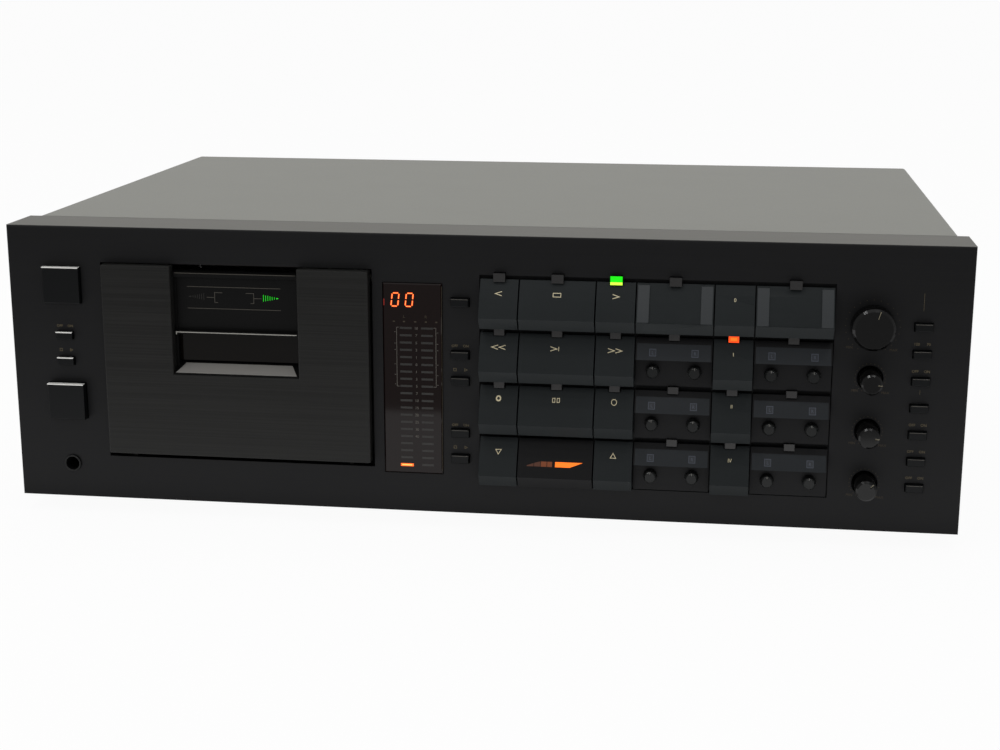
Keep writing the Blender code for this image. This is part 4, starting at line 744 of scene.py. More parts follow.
    def build_cells(self, shop: Workshop) -> None:
        """Puts a framed side mark over each trimmer, and dresses the trimmers with a grey pointer."""
        for row in (1, 2, 3):
            letters, boxes, fills = [], [], []
            for kind in ("level", "bias"):
                for side, letter in (("left", "L"), ("right", "R")):
                    name = f"{kind}_trimmer_{row}_{side}"
                    shop.dress(name, TRIMMER_FINISH)
                    trimmer = spot(name)
                    u, v, half = trimmer.u, self.top(row) + 6.3 * MM, 1.45 * MM
                    corners = [(u - half, v - half), (u + half, v - half), (u + half, v + half), (u - half, v + half)]
                    boxes.append(stroke(corners, 0.22 * MM, closed=True))
                    fills.append(sheet_of(u - half, u + half, v - half, v + half, 2))
                    letters.append(lettering(letter, 1.4 * MM, u, v))
                    pointer = bar(u - 0.22 * MM, u + 0.22 * MM, trimmer.v - 2.6 * MM, trimmer.v - 1.2 * MM)
                    shop.print(f"{name}_pointer", pointer, flat_at(-trimmer.proud + 0.42 * MM), POINTER_INK, name)
            top, half = self.top(row), self.cell_width / 2
            bands = [sheet_of(self.centre(column) - half, self.centre(column) + half, top + self.band_rows[0],
                              top + self.band_rows[1], 4) for column in (3, 5)]
            shop.print(f"cell_bands_{row}", together(bands), self.slope(row), BAND_FINISH, "deck", lift=0.0,
                       thickness=0.02 * MM)
            shop.print(f"side_fields_{row}", together(fills), self.slope(row), BOX_INK, "deck", lift=0.03 * MM)
            shop.print(f"side_marks_{row}", together(boxes + letters), self.slope(row), BLUE_INK, "deck", lift=0.09 * MM)

    def build_fader(self, shop: Workshop) -> None:
        """Two light wedges of the fader display: the right one lit, the left one brighter towards the middle."""
        middle = self.centre(1) - 0.6 * MM
        high, low = 104.9 * MM, 107.1 * MM
        gap = 0.7 * MM
        right = polygon([(middle + gap, high), (middle + 13.6 * MM, high), (middle + 7.6 * MM, low), (middle + gap, low)])
        shop.print("fader_wedge_lit", right, self.slope(3), WEDGE_LIT, "deck", lift=0.03 * MM)
        steps = ((9.4, 12.6, WEDGE_FAINT), (6.3, 9.1, WEDGE_FAINT), (3.3, 6.0, WEDGE_DIM), (0.7, 3.0, WEDGE_DIM))
        for place, (near, far, finish) in enumerate(steps):
            start, end = middle - far * MM, middle - near * MM
            rise = [high + (low - high) * max(0.0, (reach - 7.0) / 6.6) for reach in (far, near)]
            shape = polygon([(start, rise[0]), (end, rise[1]), (end, low), (start, low)])
            shop.print(f"fader_wedge_dim_{place + 1}", shape, self.slope(3), finish, "deck", lift=0.03 * MM)


@dataclass
class Meter:
    """Smoked window with a two-digit counter, two columns of level bars and their scale."""

    digit_lefts: tuple[float, ...] = (186.2 * MM, 192.9 * MM)
    digit_top: float = 27.65 * MM
    digit_width: float = 3.2 * MM
    digit_height: float = 6.2 * MM
    slant: float = 0.7 * MM
    segment: float = 0.7 * MM
    core: float = 0.24 * MM
    bar_rows: int = 20
    bar_top: float = 43.65 * MM
    bar_pitch: float = 3.49 * MM
    bar_height: float = 1.0 * MM
    left_bar: tuple[float, float] = (190.2 * MM, 195.9 * MM)
    right_bar: tuple[float, float] = (200.3 * MM, 205.9 * MM)
    scale_middle: float = 198.0 * MM
    scale: tuple[str, ...] = ("10", "7", "5", "3", "1", "0", "1", "3", "5", "7", "10", "15", "20", "25", "30", "40")
    bracket_us: tuple[float, float] = (188.7 * MM, 207.3 * MM)
    bracket_rows: tuple[float, float] = (43.9 * MM, 72.2 * MM)
    tick_rows: tuple[float, ...] = (46.0 * MM, 51.4 * MM, 54.5 * MM, 61.4 * MM, 66.5 * MM, 71.1 * MM)
    header_us: tuple[float, ...] = (187.5 * MM, 192.3 * MM, 197.6 * MM, 202.6 * MM, 207.6 * MM)
    header_row: float = 41.1 * MM
    line: float = 0.22 * MM

    def digit(self, left: float, width: float) -> Figure:
        """A leaning zero of strokes of a width: six segments of the seven, with small gaps at the corners."""
        w, h, gap = self.digit_width, self.digit_height, self.segment * 0.55
        spans = [((gap, 0), (w - gap, 0)), ((gap, h), (w - gap, h))]
        spans += [((side, start + gap), (side, start + h / 2 - gap)) for side in (0, w) for start in (0, h / 2)]
        segments = []
        for (u1, v1), (u2, v2) in spans:
            lean1, lean2 = self.slant * (1 - v1 / h), self.slant * (1 - v2 / h)
            ends = [(left + u1 + lean1, self.digit_top + v1), (left + u2 + lean2, self.digit_top + v2)]
            segments.append(stroke(ends, width))
        return together(segments)

    def build(self, shop: Workshop) -> None:
        """Dresses the window."""
        shop.dress("meter_window", SMOKED_FINISH)
        window = spot("meter_window")
        face = flat_at(-window.proud)
        for name, width, finish, lift in (("counter_digits", self.segment, RED_DIGIT, PRINT_LIFT),
                                          ("counter_digit_cores", self.core, ORANGE_CORE, 0.08 * MM)):
            figure = together([self.digit(left, width) for left in self.digit_lefts])
            shop.print(name, figure, face, finish, "deck", lift=lift)
        shop.print("counter_tick", bar(182.7 * MM, 183.1 * MM, 30.5 * MM, 33.6 * MM), face, RED_TICK, "deck")
        rows = [self.bar_top + row * self.bar_pitch for row in range(self.bar_rows)]
        bars = [bar(*span, top, top + self.bar_height) for top in rows[:-1] for span in (self.left_bar, self.right_bar)]
        bars.append(bar(*self.right_bar, rows[-1], rows[-1] + self.bar_height))
        shop.print("dark_level_bars", together(bars), face, BAR_DARK, "deck")
        lit = bar(self.left_bar[0] - 0.2 * MM, self.left_bar[1] + 0.3 * MM, rows[-1], rows[-1] + 1.4 * MM)
        shop.print("lit_level_bar", lit, face, ORANGE_BAR, "deck")
        core = bar(self.left_bar[0] + 0.4 * MM, self.left_bar[1] - 0.4 * MM, rows[-1] + 0.4 * MM, rows[-1] + 1.0 * MM)
        shop.print("lit_level_core", core, face, ORANGE_CORE, "deck", lift=0.08 * MM)
        shop.print("meter_scale", self.scale_marks(rows), face, SCALE_INK, "deck")
        header = [bar(u - 0.5 * MM, u + 0.5 * MM, self.header_row - 0.3 * MM, self.header_row + 0.3 * MM)
                  for u in self.header_us]
        header += [lettering("L", 1.4 * MM, self.header_us[1], 38.6 * MM),
                   lettering("R", 1.4 * MM, self.header_us[3], 38.6 * MM),
                   bar(window.right - 1.5 * MM, window.right - 1.3 * MM, 24.0 * MM, 113.0 * MM)]
        shop.print("meter_header", together(header), face, DIM_INK, "deck")

    def scale_marks(self, rows: list[float]) -> Figure:
        """The scale's numbers, brackets and ticks.

        Args:
            rows: top of each bar.

        Returns:
            All of them as one drawing.
        """
        middle = [top + self.bar_height / 2 for top in rows]
        marks = [lettering(text, 1.3 * MM, self.scale_middle, v) for text, v in zip(self.scale, middle)]
        first, last = self.bracket_rows
        for u, way in zip(self.bracket_us, (1, -1)):
            inward = u + way * 1.1 * MM
            marks.append(stroke([(inward, first), (u, first), (u, last), (inward, last)], self.line))
            out = u - way * 1.1 * MM
            marks += [bar(min(out, u - way * 0.4 * MM), max(out, u - way * 0.4 * MM), row, row + self.line)
                      for row in self.tick_rows]
        return together(marks)


@dataclass
class Door:
    """Brushed door plate, the holder behind it with its direction display, sill and viewing lens, and painted light
    round the lenses: a reflection on the sill and highlights along their top edges.
    """

    display_depth: float = 1.8 * MM
    left: float = 87.4 * MM
    right: float = 132.8 * MM
    line_drops: tuple[float, float] = (27.8 * MM, 38.2 * MM)
    lit_arrow: float = 124.4 * MM
    dark_arrow: float = 95.6 * MM
    arrow_middle: float = 32.5 * MM
    arrow_bars: int = 6
    notch: tuple[float, float] = (82.0 * MM, 141.0 * MM)
    sill_rise: tuple[float, float] = (68.8 * MM, 65.3 * MM)
    sill_depths: tuple[float, float] = (-3.55 * MM, 2.45 * MM)
    sill_shadow_mitre: float = 3.5 * MM
    display_top: float = 20.85 * MM
    highlight_proud: float = 0.6 * MM

    def arrow(self, start: float, way: int) -> Figure:
        """Upright bars that shrink towards a small pointed tip."""
        pitch, width = 1.06 * MM, 0.24 * MM
        found = []
        for place in range(self.arrow_bars):
            half = (1.60 - 0.21 * place) * MM
            u = start + way * place * pitch
            found.append(bar(min(u, u + way * width), max(u, u + way * width), self.arrow_middle - half,
                             self.arrow_middle + half))
        tip = start + way * self.arrow_bars * pitch
        corners = [(tip, self.arrow_middle - 0.35 * MM), (tip + way * 1.2 * MM, self.arrow_middle),
                   (tip, self.arrow_middle + 0.35 * MM)]
        return together([*found, polygon(corners)])

    def build(self, shop: Workshop) -> None:
        """Dresses the door."""
        shop.dress("cassette_door", DOOR_FINISH)
        shop.dress("cassette_holder", HOLDER_FINISH)
        shop.dress("holder_window", LENS_FINISH)
        face = flat_at(self.display_depth)
        shop.print("display_arrow_lit", self.arrow(self.lit_arrow, 1), face, GREEN_ARROW, "door")
        shop.print("display_arrow_dark", self.arrow(self.dark_arrow, -1), face, SHADE_DARK, "door")
        width = 0.28 * MM
        lines = [stroke([(self.left, v), (self.right, v)], width) for v in self.line_drops]
        top, middle, bottom = 30.4 * MM, 32.8 * MM, 35.2 * MM
        lines += [
            stroke([(104.6 * MM, top), (100.8 * MM, top), (100.8 * MM, bottom), (102.4 * MM, bottom)], width),
            stroke([(96.9 * MM, middle), (100.6 * MM, middle)], width),
            stroke([(116.0 * MM, top), (119.8 * MM, top), (119.8 * MM, bottom), (118.2 * MM, bottom)], width),
            stroke([(120.0 * MM, middle), (123.6 * MM, middle)], width),
        ]
        shop.print("display_lines", together(lines), face, DISPLAY_INK, "door")
        # Painted highlight: a thin light line along the display lens's top edge
        highlight_line = bar(self.notch[0] + 0.4 * MM, self.notch[1] - 0.4 * MM, self.display_top, self.display_top + 0.3 * MM)
        shop.print("display_top_highlight", highlight_line, flat_at(-self.highlight_proud), DISPLAY_INK, "door")
        self.build_painted_light(shop)

    def build_painted_light(self, shop: Workshop) -> None:
        """Painted light round the lens: a light grey sheet on the slope under it is a painted reflection of the sill's
        glare, its mitred ends a painted shadow of the jambs, and a thin light line is a painted highlight along the
        lens's top edge.
        """
        left, right = self.notch
        (front_v, back_v), (front_y, back_y) = self.sill_rise, self.sill_depths
        # Painted shadow: the sheet's ends are mitred, leaving the jambs' shadow on the sill dark
        inset, thin = self.sill_shadow_mitre, 0.12 * MM
        u = np.array([left, right, right - inset, left + inset])
        v = np.array([front_v, front_v, back_v, back_v]) - thin
        y = np.array([front_y, front_y, back_y, back_y])
        low = np.column_stack([u - PANEL_WIDTH / 2, FACE_Y + y, PANEL_TOP - v])
        high = low + np.array([0.0, 0.0, thin])
        faces = [[4, 5, 6, 7], [3, 2, 1, 0], [0, 1, 5, 4], [1, 2, 6, 5], [2, 3, 7, 6], [3, 0, 4, 7]]
        # Painted reflection: the light grey sheet stands in for the glare on the sloping sill
        shop.piece("painted_sill_reflection_sheet", np.vstack([low, high]), faces, SILL_REFLECTION_PAINT, "door")
        # Painted highlight: a thin light line along the lens's top edge, turning down at its left end
        lens_highlight = [(left + 0.2 * MM, 50.6 * MM), (left + 0.2 * MM, 49.4 * MM), (right - 0.2 * MM, 49.4 * MM)]
        shop.print("window_top_highlight", stroke(lens_highlight, 0.42 * MM), flat_at(-1.0 * MM), LENS_HIGHLIGHT_PAINT, "door")


@dataclass
class Knob:
    """A level knob: its node, pointer angle, and the radius of the ring of dots round it."""

    node: str
    degrees: float
    dots_radius: float
    end_marks: tuple[float, float, float, float]
    dot: float = 0.22 * MM
    sweep: float = 150.0
    dot_count: int = 21

    def build(self, shop: Workshop) -> None:
        """Dresses the knob, lays a white line in its pointer groove, and prints its scale of dots."""
        shop.dress(self.node, KNOB_FINISH)
        shop.soften(self.node, 0.35 * MM, 3)
        knob = spot(self.node)
        radius = (knob.right - knob.left) / 2
        angle = math.radians(self.degrees)
        way = np.array([math.sin(angle), -math.cos(angle)])
        line = [tuple(np.array([knob.u, knob.v]) + way * radius * share) for share in (0.52, 0.88)]
        shop.print(f"{self.node}_pointer", stroke(line, 0.4 * MM), flat_at(-knob.proud + 0.40 * MM), KNOB_INK, self.node)
        scale = dots(knob.u, knob.v, self.dots_radius, self.dot, np.linspace(-self.sweep, self.sweep, self.dot_count))
        left, left_down, right, right_down = self.end_marks
        ends = [lettering("MIN", 1.2 * MM, knob.u - left, knob.v + left_down),
                lettering("MAX", 1.2 * MM, knob.u + right, knob.v + right_down)]
        shop.print(f"{self.node}_scale", together([scale, *ends]), flat_at(0.0), DIM_INK, "deck")


@dataclass
class Buttons:
    """Push buttons at both ends and beside the meter, with painted highlights along their top edges: near-white folded
    strips on the left ones and thin lines on the rest.
    """

    highlight_drop: float = 0.30 * MM
    highlight_share: float = 0.14
    highlight_strips: tuple[str, ...] = ("eject_button", "power_button", "timer_mode_button", "timer_switch_button")

    def build(self, shop: Workshop) -> None:
        """Dresses every button and puts on its painted highlight: a strip or a line along the top edge."""
        highlight_line_width = 0.16 * MM
        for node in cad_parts:
            if not node.endswith("_button"):
                continue
            shop.dress(node, BUTTON_FINISH)
            shop.soften(node, 0.2 * MM)
            if node in self.highlight_strips:
                self.build_strip(shop, node)
            else:
                button = spot(node)
                cap = self.cap_of(node)
                # Painted highlight: a thin light line along the cap's top edge
                highlight_line = bar(cap[0] + 0.35 * MM, cap[1] - 0.35 * MM, cap[2] + 0.22 * MM, cap[2] + 0.22 * MM + highlight_line_width)
                shop.print(f"{node}_edge", highlight_line, flat_at(-button.proud), SCALE_INK, node)

    def cap_of(self, node: str) -> tuple[float, float, float]:
        """Left, right and top of a button's cap: the node's box less the flange that keeps it in the panel."""
        box, flange = spot(node), 0.9 * MM
        return (box.left + flange, box.right - flange, box.top + flange)

    def build_strip(self, shop: Workshop, node: str) -> None:
        """A painted highlight: a thin near-white strip folded over the cap's top front edge, where the top face catches
        the light.

        Its section is an L: the outer line runs back along the top and down the front, and the
        inner line is the same moved in by the strip's thickness.
        """
        left, right, top = self.cap_of(node)
        proud, thick = spot(node).proud, 0.12 * MM
        reach = self.highlight_share * (right - left)
        gap = 0.02 * MM
        outer = np.array([[-proud + reach, top - gap - thick], [-proud - gap - thick, top - gap - thick],
                          [-proud - gap - thick, top + self.highlight_drop]])
        inner = np.array([[-proud + reach, top - gap], [-proud - gap, top - gap],
                          [-proud - gap, top + self.highlight_drop]])
        section = np.vstack([outer, inner[::-1]])
        count = len(section)
        points = np.vstack([
            np.column_stack([np.full(count, u - PANEL_WIDTH / 2), FACE_Y + section[:, 0], PANEL_TOP - section[:, 1]])
            for u in (left, right)
        ])
        sides = [[i, i + count, (i + 1) % count + count, (i + 1) % count] for i in range(count)]
        ends = [[0, 1, 4, 5], [1, 2, 3, 4]]
        faces = sides + ends + [[i + count for i in face[::-1]] for face in ends]
        shop.piece(f"{node}_strip", points, faces, HIGHLIGHT_STRIP_PAINT, node)


@dataclass
class FrontFace:
    """The anodised front: its finish, small generic marks, and the headphone socket's ring."""

    small: float = 1.25 * MM
    meter_marks: tuple[float, ...] = (52.1 * MM, 90.3 * MM)
    timer_mark: float = 48.3 * MM
    phones: tuple[float, float] = (26.6 * MM, 116.9 * MM)
    phones_radius: float = 4.2 * MM
    phones_proud: float = 0.8 * MM
    source_line: tuple[float, float] = (21.4 * MM, 29.5 * MM)
    switch_names: tuple[str, ...] = ("noise_reduction_button", "multiplex_filter_button", "subsonic_filter_button",
                                     "record_pause_button")

    def pair_of(self, first: str, second: str, u: float, v: float) -> Figure:
        """Two short marks side by side."""
        return together([lettering(first, self.small, u - 2.6 * MM, v), lettering(second, self.small, u + 2.6 * MM, v)])

    def mode_signs(self, u: float, v: float) -> Figure:
        """A small square for stop and a small triangle for play, side by side."""
        half, line = 0.6 * MM, 0.2 * MM
        left, right = u - 2.6 * MM, u + 2.6 * MM
        square = [(left - half, v - half), (left + half, v - half), (left + half, v + half), (left - half, v + half)]
        play = [(right - half, v - half), (right + half, v), (right - half, v + half)]
        return together([stroke(square, line, closed=True), stroke(play, line, closed=True)])

    def build(self, shop: Workshop) -> None:
        """Dresses the panel and prints its marks."""
        shop.dress("front_panel", PANEL_FINISH)
        meter_side, timer = spot("memory_button").u, spot("timer_mode_button").u
        marks = [self.pair_of("OFF", "ON", meter_side, v) for v in self.meter_marks]
        marks.append(self.pair_of("OFF", "ON", timer, self.timer_mark))
        for name in self.switch_names:
            button = spot(name)
            marks.append(self.pair_of("OFF", "ON", button.u, button.top - 2.0 * MM))
        equalizer = spot("equalizer_button")
        marks.append(self.pair_of("120", "70", equalizer.u, equalizer.top - 2.0 * MM))
        lowest = spot("noise_reduction_button")
        marks.append(bar(lowest.u - 0.06 * MM, lowest.u + 0.06 * MM, lowest.bottom + 1.2 * MM, lowest.bottom + 3.4 * MM))
        line_u = equalizer.u - 0.45 * MM
        marks.append(bar(line_u - 0.06 * MM, line_u + 0.06 * MM, *self.source_line))
        for name in ("timer_switch_button", "memory_mode_button", "auto_record_mode_button"):
            button = spot(name)
            marks.append(self.mode_signs(button.u, button.top - 2.6 * MM))
        shop.print("panel_marks", together(marks), flat_at(0.0), FAINT_INK, "deck")
        u, v = self.phones
        depth = FACE_Y - self.phones_proud
        radius = self.phones_radius
        profile = [(radius - 0.9 * MM, depth - 0.02 * MM), (radius - 0.1 * MM, depth - 0.02 * MM),
                   (radius - 0.25 * MM, depth - 0.20 * MM), (radius - 0.75 * MM, depth - 0.20 * MM)]
        points, faces = ring_arrays(profile, (across(u), height(v)), 48)
        shop.piece("headphone_ring", points, faces, DARK_CHROME, "deck", smooth=True)


def joined(parts: Sequence[tuple[Points, list[list[int]]]]) -> tuple[Points, list[list[int]]]:
    """Points and faces of several shapes as one, each one's faces counted on from the last."""
    starts = np.cumsum([0] + [len(points) for points, _ in parts])
    faces = [[i + int(start) for i in face] for (_, sides), start in zip(parts, starts) for face in sides]
    return np.vstack([points for points, _ in parts]), faces


def screw_arrays(centre: tuple[float, float, float], way: tuple[float, float, float],
                 radius: float) -> tuple[Points, list[list[int]]]:
    """A domed screw head with a cross recess, standing on a surface.

    The dome's height is a share of the radius times the root of one less the squared radius share.
    Inside the cross, whose arms are narrow strips along both directions, the height falls by the
    recess's depth.

    Args:
        centre: foot of the head.
        way: unit direction that it faces.
        radius: the head's radius.

    Returns:
        The points and faces.
    """
    share = np.linspace(0.0, 1.0, 12)[1:]
    rise = 0.55 * radius
    top = [(radius * s, rise * (0.35 + 0.65 * math.sqrt(1 - s * s))) for s in share]
    profile = [(0, rise), *top, (radius, 0.02 * MM), (0, 0.02 * MM)]
    points, faces = turned_arrays(profile[::-1], (0.0, 0.0), 48, "Z")
    x, y, z = points.T
    arm, reach = 0.13 * radius, 0.62 * radius
    inside = (np.minimum(np.abs(x), np.abs(y)) < arm) & (np.hypot(x, y) < reach) & (z > 0.1 * MM)
    z = np.where(inside, z - 0.45 * rise, z)
    out = np.array(way)
    first = np.array([0.0, 0.0, 1.0])
    second = np.cross(out, first)
    return np.array(centre) + np.outer(x, first) + np.outer(y, second) * -1.0 + np.outer(z, out), faces


def ring_arrays(profile: Sequence[tuple[float, float]], centre: tuple[float, float],
                steps: int) -> tuple[Points, list[list[int]]]:
    """Points and faces of a ring: a closed profile of (radius, y) carried round a line along Y.

    Args:
        profile: the ring's section.
        centre: (x, z) of the line.
        steps: points round.

    Returns:
        The points and faces, turned so that they face out.
    """
    line = np.asarray(profile, float)
    angle = np.linspace(0, math.tau, steps, endpoint=False)
    x = np.outer(line[:, 0], np.cos(angle)) + centre[0]
    z = np.outer(line[:, 0], np.sin(angle)) + centre[1]
    y = np.repeat(line[:, 1], steps)
    points = np.column_stack([x.ravel(), y, z.ravel()])
    count = len(line)
    faces = []
    for row in range(count):
        low, high = row * steps, (row + 1) % count * steps
        faces += [[low + i, low + (i + 1) % steps, high + (i + 1) % steps, high + i] for i in range(steps)]
    u, v = line.T
    if float(np.sum(u * np.roll(v, -1) - np.roll(u, -1) * v)) > 0:
        return points, faces
    return points, [face[::-1] for face in faces]


@dataclass
class Case:
    """Cover, pan and rear wall, with rubber feet, screws, plated sockets and the mains inlet's liner."""

    feet: tuple[tuple[float, float], ...] = (
        (-175.0 * MM, 58.0 * MM), (175.0 * MM, 58.0 * MM), (-175.0 * MM, 255.0 * MM), (175.0 * MM, 255.0 * MM),
    )
    wall: float = FACE_Y + 281.0 * MM
    collar: float = 1.5 * MM
    socket: float = 9.0 * MM
    socket_radius: float = 4.15 * MM
    collar_radius: float = 5.6 * MM
    socket_places: tuple[tuple[float, float], ...] = (
        (150.0 * MM, 86.0 * MM), (168.0 * MM, 86.0 * MM), (150.0 * MM, 68.0 * MM), (168.0 * MM, 68.0 * MM),
    )
    inlet: tuple[float, float] = (-165.0 * MM, 48.0 * MM)
    screw_radius: float = 3.4 * MM
    side_screws: tuple[tuple[float, float], ...] = ((70.0 * MM, 30.0 * MM), (160.0 * MM, 30.0 * MM), (250.0 * MM, 30.0 * MM))
    rear_screws: tuple[tuple[float, float], ...] = (
        (-205.0 * MM, 122.0 * MM), (0.0, 122.0 * MM), (205.0 * MM, 122.0 * MM), (-205.0 * MM, 22.0 * MM),
        (205.0 * MM, 22.0 * MM),
    )

    def build(self, shop: Workshop) -> None:
        """Dresses the case."""
        shop.dress("top_cover", COVER_FINISH)
        shop.dress("chassis_pan", CHASSIS_FINISH)
        profile = [(0, 0.0), (14.5 * MM, 0.0), (16.1 * MM, 1.6 * MM), (18.15 * MM, 10.2 * MM), (0, 10.2 * MM)]
        feet = [turned_arrays(profile, (x, FACE_Y + setback), 48, "Z") for x, setback in self.feet]
        shop.piece("rubber_feet", *joined(feet), RUBBER, "deck", smooth=True)
        self.build_sockets(shop)
        self.build_inlet(shop)
        self.build_screws(shop)

    def build_sockets(self, shop: Workshop) -> None:
        """A plated sleeve over each phono socket, and a coloured washer round its collar."""
        start, end = self.wall + self.collar, self.wall + self.collar + self.socket
        radius, washer = self.socket_radius, self.collar_radius
        sleeve = [(radius + 0.02 * MM, start + 0.05 * MM), (radius + 0.16 * MM, start + 0.05 * MM),
                  (radius + 0.16 * MM, end - 0.35 * MM), (radius + 0.02 * MM, end - 0.05 * MM)]
        ring_section = [(washer + 0.03 * MM, self.wall + 0.03 * MM), (washer + 1.5 * MM, self.wall + 0.03 * MM),
                        (washer + 1.4 * MM, self.wall + 0.9 * MM), (washer + 0.03 * MM, self.wall + 1.1 * MM)]
        sleeves = [ring_arrays(sleeve, place, 40) for place in self.socket_places]
        shop.piece("socket_sleeves", *joined(sleeves), CHROME, "deck", smooth=True)
        washers = [ring_arrays(ring_section, place, 40) for place in self.socket_places]
        shop.piece("left_socket_washers", *joined(washers[:2]), WHITE_RING, "deck", smooth=True)
        shop.piece("right_socket_washers", *joined(washers[2:]), RED_RING, "deck", smooth=True)

    def build_inlet(self, shop: Workshop) -> None:
        """A black liner in the mains inlet, with its two pins.

        The liner is a chain of rectangles: round the front, into the recess, across its floor, and
        back out behind by the liner's thickness.
        """
        x, z = self.inlet
        front, floor, thin = self.wall + self.collar + 0.02 * MM, self.wall - 11.7 * MM, 0.08 * MM
        loops = [(12.0, 8.0, front + thin), (8.8, 4.8, front + thin), (8.8, 4.8, floor), (8.9, 4.9, floor - thin),
                 (8.9, 4.9, front), (12.0, 8.0, front)]
        corners = np.array([[-1, -1], [1, -1], [1, 1], [-1, 1]])
        points = np.vstack([
            np.column_stack([x + corners[:, 0] * width * MM, np.full(4, y), z + corners[:, 1] * tall * MM])
            for width, tall, y in loops
        ])
        faces = []
        for low, high in ((0, 1), (1, 2), (3, 4), (4, 5), (5, 0)):
            faces += [[low * 4 + (i + 1) % 4, low * 4 + i, high * 4 + i, high * 4 + (i + 1) % 4] for i in range(4)]
        faces += [[11, 10, 9, 8], [12, 13, 14, 15]]
        shop.piece("inlet_liner", points, faces, RUBBER, "deck")
        pin = [(0, floor + 0.05 * MM), (1.2 * MM, floor + 0.05 * MM), (1.2 * MM, floor + 8.4 * MM),
               (0.8 * MM, floor + 9.0 * MM), (0, floor + 9.0 * MM)]
        pins = [turned_arrays(pin, (x + way * 4.0 * MM, z), 24, "Y") for way in (-1, 1)]
        shop.piece("inlet_pins", *joined(pins), CHROME, "deck", smooth=True)

    def build_screws(self, shop: Workshop) -> None:
        """Cross-recessed screws in the cover's sides and round the rear wall."""
        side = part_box("top_cover")[1].x
        heads = [screw_arrays((way * side, FACE_Y + setback, z), (way, 0.0, 0.0), self.screw_radius)
                 for way in (-1.0, 1.0) for setback, z in self.side_screws]
        heads += [screw_arrays((x, self.wall, z), (0.0, 1.0, 0.0), self.screw_radius) for x, z in self.rear_screws]
        shop.piece("case_screws", *joined(heads), SCREW_FINISH, "deck", smooth=True)


@dataclass
class Transport:
    """Plate behind the holder with the head block, rollers, capstans and the two spindles."""

    spindle_reach: float = 11.5 * MM
    cassette_height: float = 63.8 * MM
    pitch: float = 26.0 * MM
    roller_drop: float = 9.0 * MM
    roller_radius: float = 6.0 * MM
    roller_width: float = 7.0 * MM
    roller_reach: float = 12.0 * MM
    capstan_rise: float = 1.2 * MM
    capstan_radius: float = 1.3 * MM
    capstan_reach: float = 11.0 * MM
    head_half: float = 6.0 * MM
    head_rise: float = 5.0 * MM
    head_foot: float = 2.5 * MM
    nose_radius: float = 3.0 * MM

    def build(self, shop: Workshop) -> None:
        """Dresses the transport: rubber tyres with steel hubs, polished capstans and the head's face."""
        shop.dress("transport_frame", PLATE_FINISH)
        for node in ("supply_spindle", "takeup_spindle"):
            shop.dress(node, SPINDLE_FINISH)
        plate = spot("transport_frame")
        seat = plate.top + self.cassette_height
        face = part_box("supply_spindle")[0].y + self.spindle_reach
        front = face - self.roller_reach
        skin, radius, hub = 0.06 * MM, self.roller_radius, 3.6 * MM
        tyre = [(hub, front - skin), (radius - 0.4 * MM, front - skin), (radius + skin, front + 0.4 * MM),
                (radius + skin, front + self.roller_width), (hub, front + self.roller_width)]
        disc = [(0, front - 2 * skin), (hub - 0.3 * MM, front - 2 * skin), (hub - 0.05 * MM, front - 0.02 * MM),
                (0, front - 0.02 * MM)]
        shaft_radius, shaft_front = self.capstan_radius + skin, face - self.capstan_reach
        shaft = [(0, shaft_front - skin), (shaft_radius - 0.3 * MM, shaft_front - skin),
                 (shaft_radius, shaft_front + 0.3 * MM), (shaft_radius, face - skin), (0, face - skin)]
        sides = [across(plate.u) + way * self.pitch for way in (-1, 1)]
        rollers = [(x, height(seat + self.roller_drop)) for x in sides]
        shop.piece("roller_tyres", *joined([ring_arrays(tyre, place, 40) for place in rollers]), RUBBER, "deck",
                   smooth=True)
        shop.piece("roller_hubs", *joined([turned_arrays(disc, place, 32, "Y") for place in rollers]), CHROME, "deck",
                   smooth=True)
        capstans = [(x, height(seat - self.capstan_rise)) for x in sides]
        shop.piece("capstan_shafts", *joined([turned_arrays(shaft, place, 24, "Y") for place in capstans]), CHROME,
                   "deck", smooth=True)
        shop.piece("head_face", *self.head_arrays(plate.u, seat, front, face), CHROME, "deck", smooth=True)

    def head_arrays(self, u: float, seat: float, front: float, face: float) -> tuple[Points, list[list[int]]]:
        """A thin polished hood over the head's nose.

        The nose is two quarter circles joined by a straight top. Each station has an outer point,
        one skin further out than the nose, and an inner point on it, at the front and at the back.

        Args:
            u: middle of the head.
            seat: the cassette's seat, down the panel.
            front: Y of the head's front.
            face: Y of the plate behind it.

        Returns:
            The points and faces.
        """
        angle = np.linspace(0, math.tau / 4, 7)
        inner_radius, foot = self.nose_radius + 0.02 * MM, seat + self.head_foot
        loops = []
        for radius in (inner_radius + 0.08 * MM, inner_radius):
            centre_v = seat - self.head_rise + self.nose_radius
            left = np.column_stack([-np.cos(angle) * radius - self.head_half + self.nose_radius,
                                    centre_v - np.sin(angle) * radius])
            right = left[::-1] * [-1, 1]
            ends = [[[left[0, 0], foot]], left, right, [[right[-1, 0], foot]]]
            loops.append(np.vstack(ends) + [u, 0.0])
        outer, inner = loops
        depths = (front + 0.05 * MM, face - 0.6 * MM)
        corners = [(outer, depths[0]), (outer, depths[1]), (inner, depths[1]), (inner, depths[0])]
        points = np.vstack([
            np.column_stack([line[:, 0] - PANEL_WIDTH / 2, np.full(len(line), y), PANEL_TOP - line[:, 1]])
            for line, y in corners
        ])
        count = len(outer)
        faces = []
        for side in range(4):
            low, high = side * count, (side + 1) % 4 * count
            faces += [[low + i, low + i + 1, high + i + 1, high + i] for i in range(count - 1)]
        faces += [[0, count, 2 * count, 3 * count], [4 * count - 1, 3 * count - 1, 2 * count - 1, count - 1]]
        return points, [face[::-1] for face in faces]


@dataclass(frozen=True)
class Lamp:
    """A soft lamp: its name, place, target, width, depth and power, and whether only gloss shows it."""

    name: str
    place: tuple[float, float, float]
    target: tuple[float, float, float]
    width: float
    depth: float
    power: float
    glare_only: bool = False


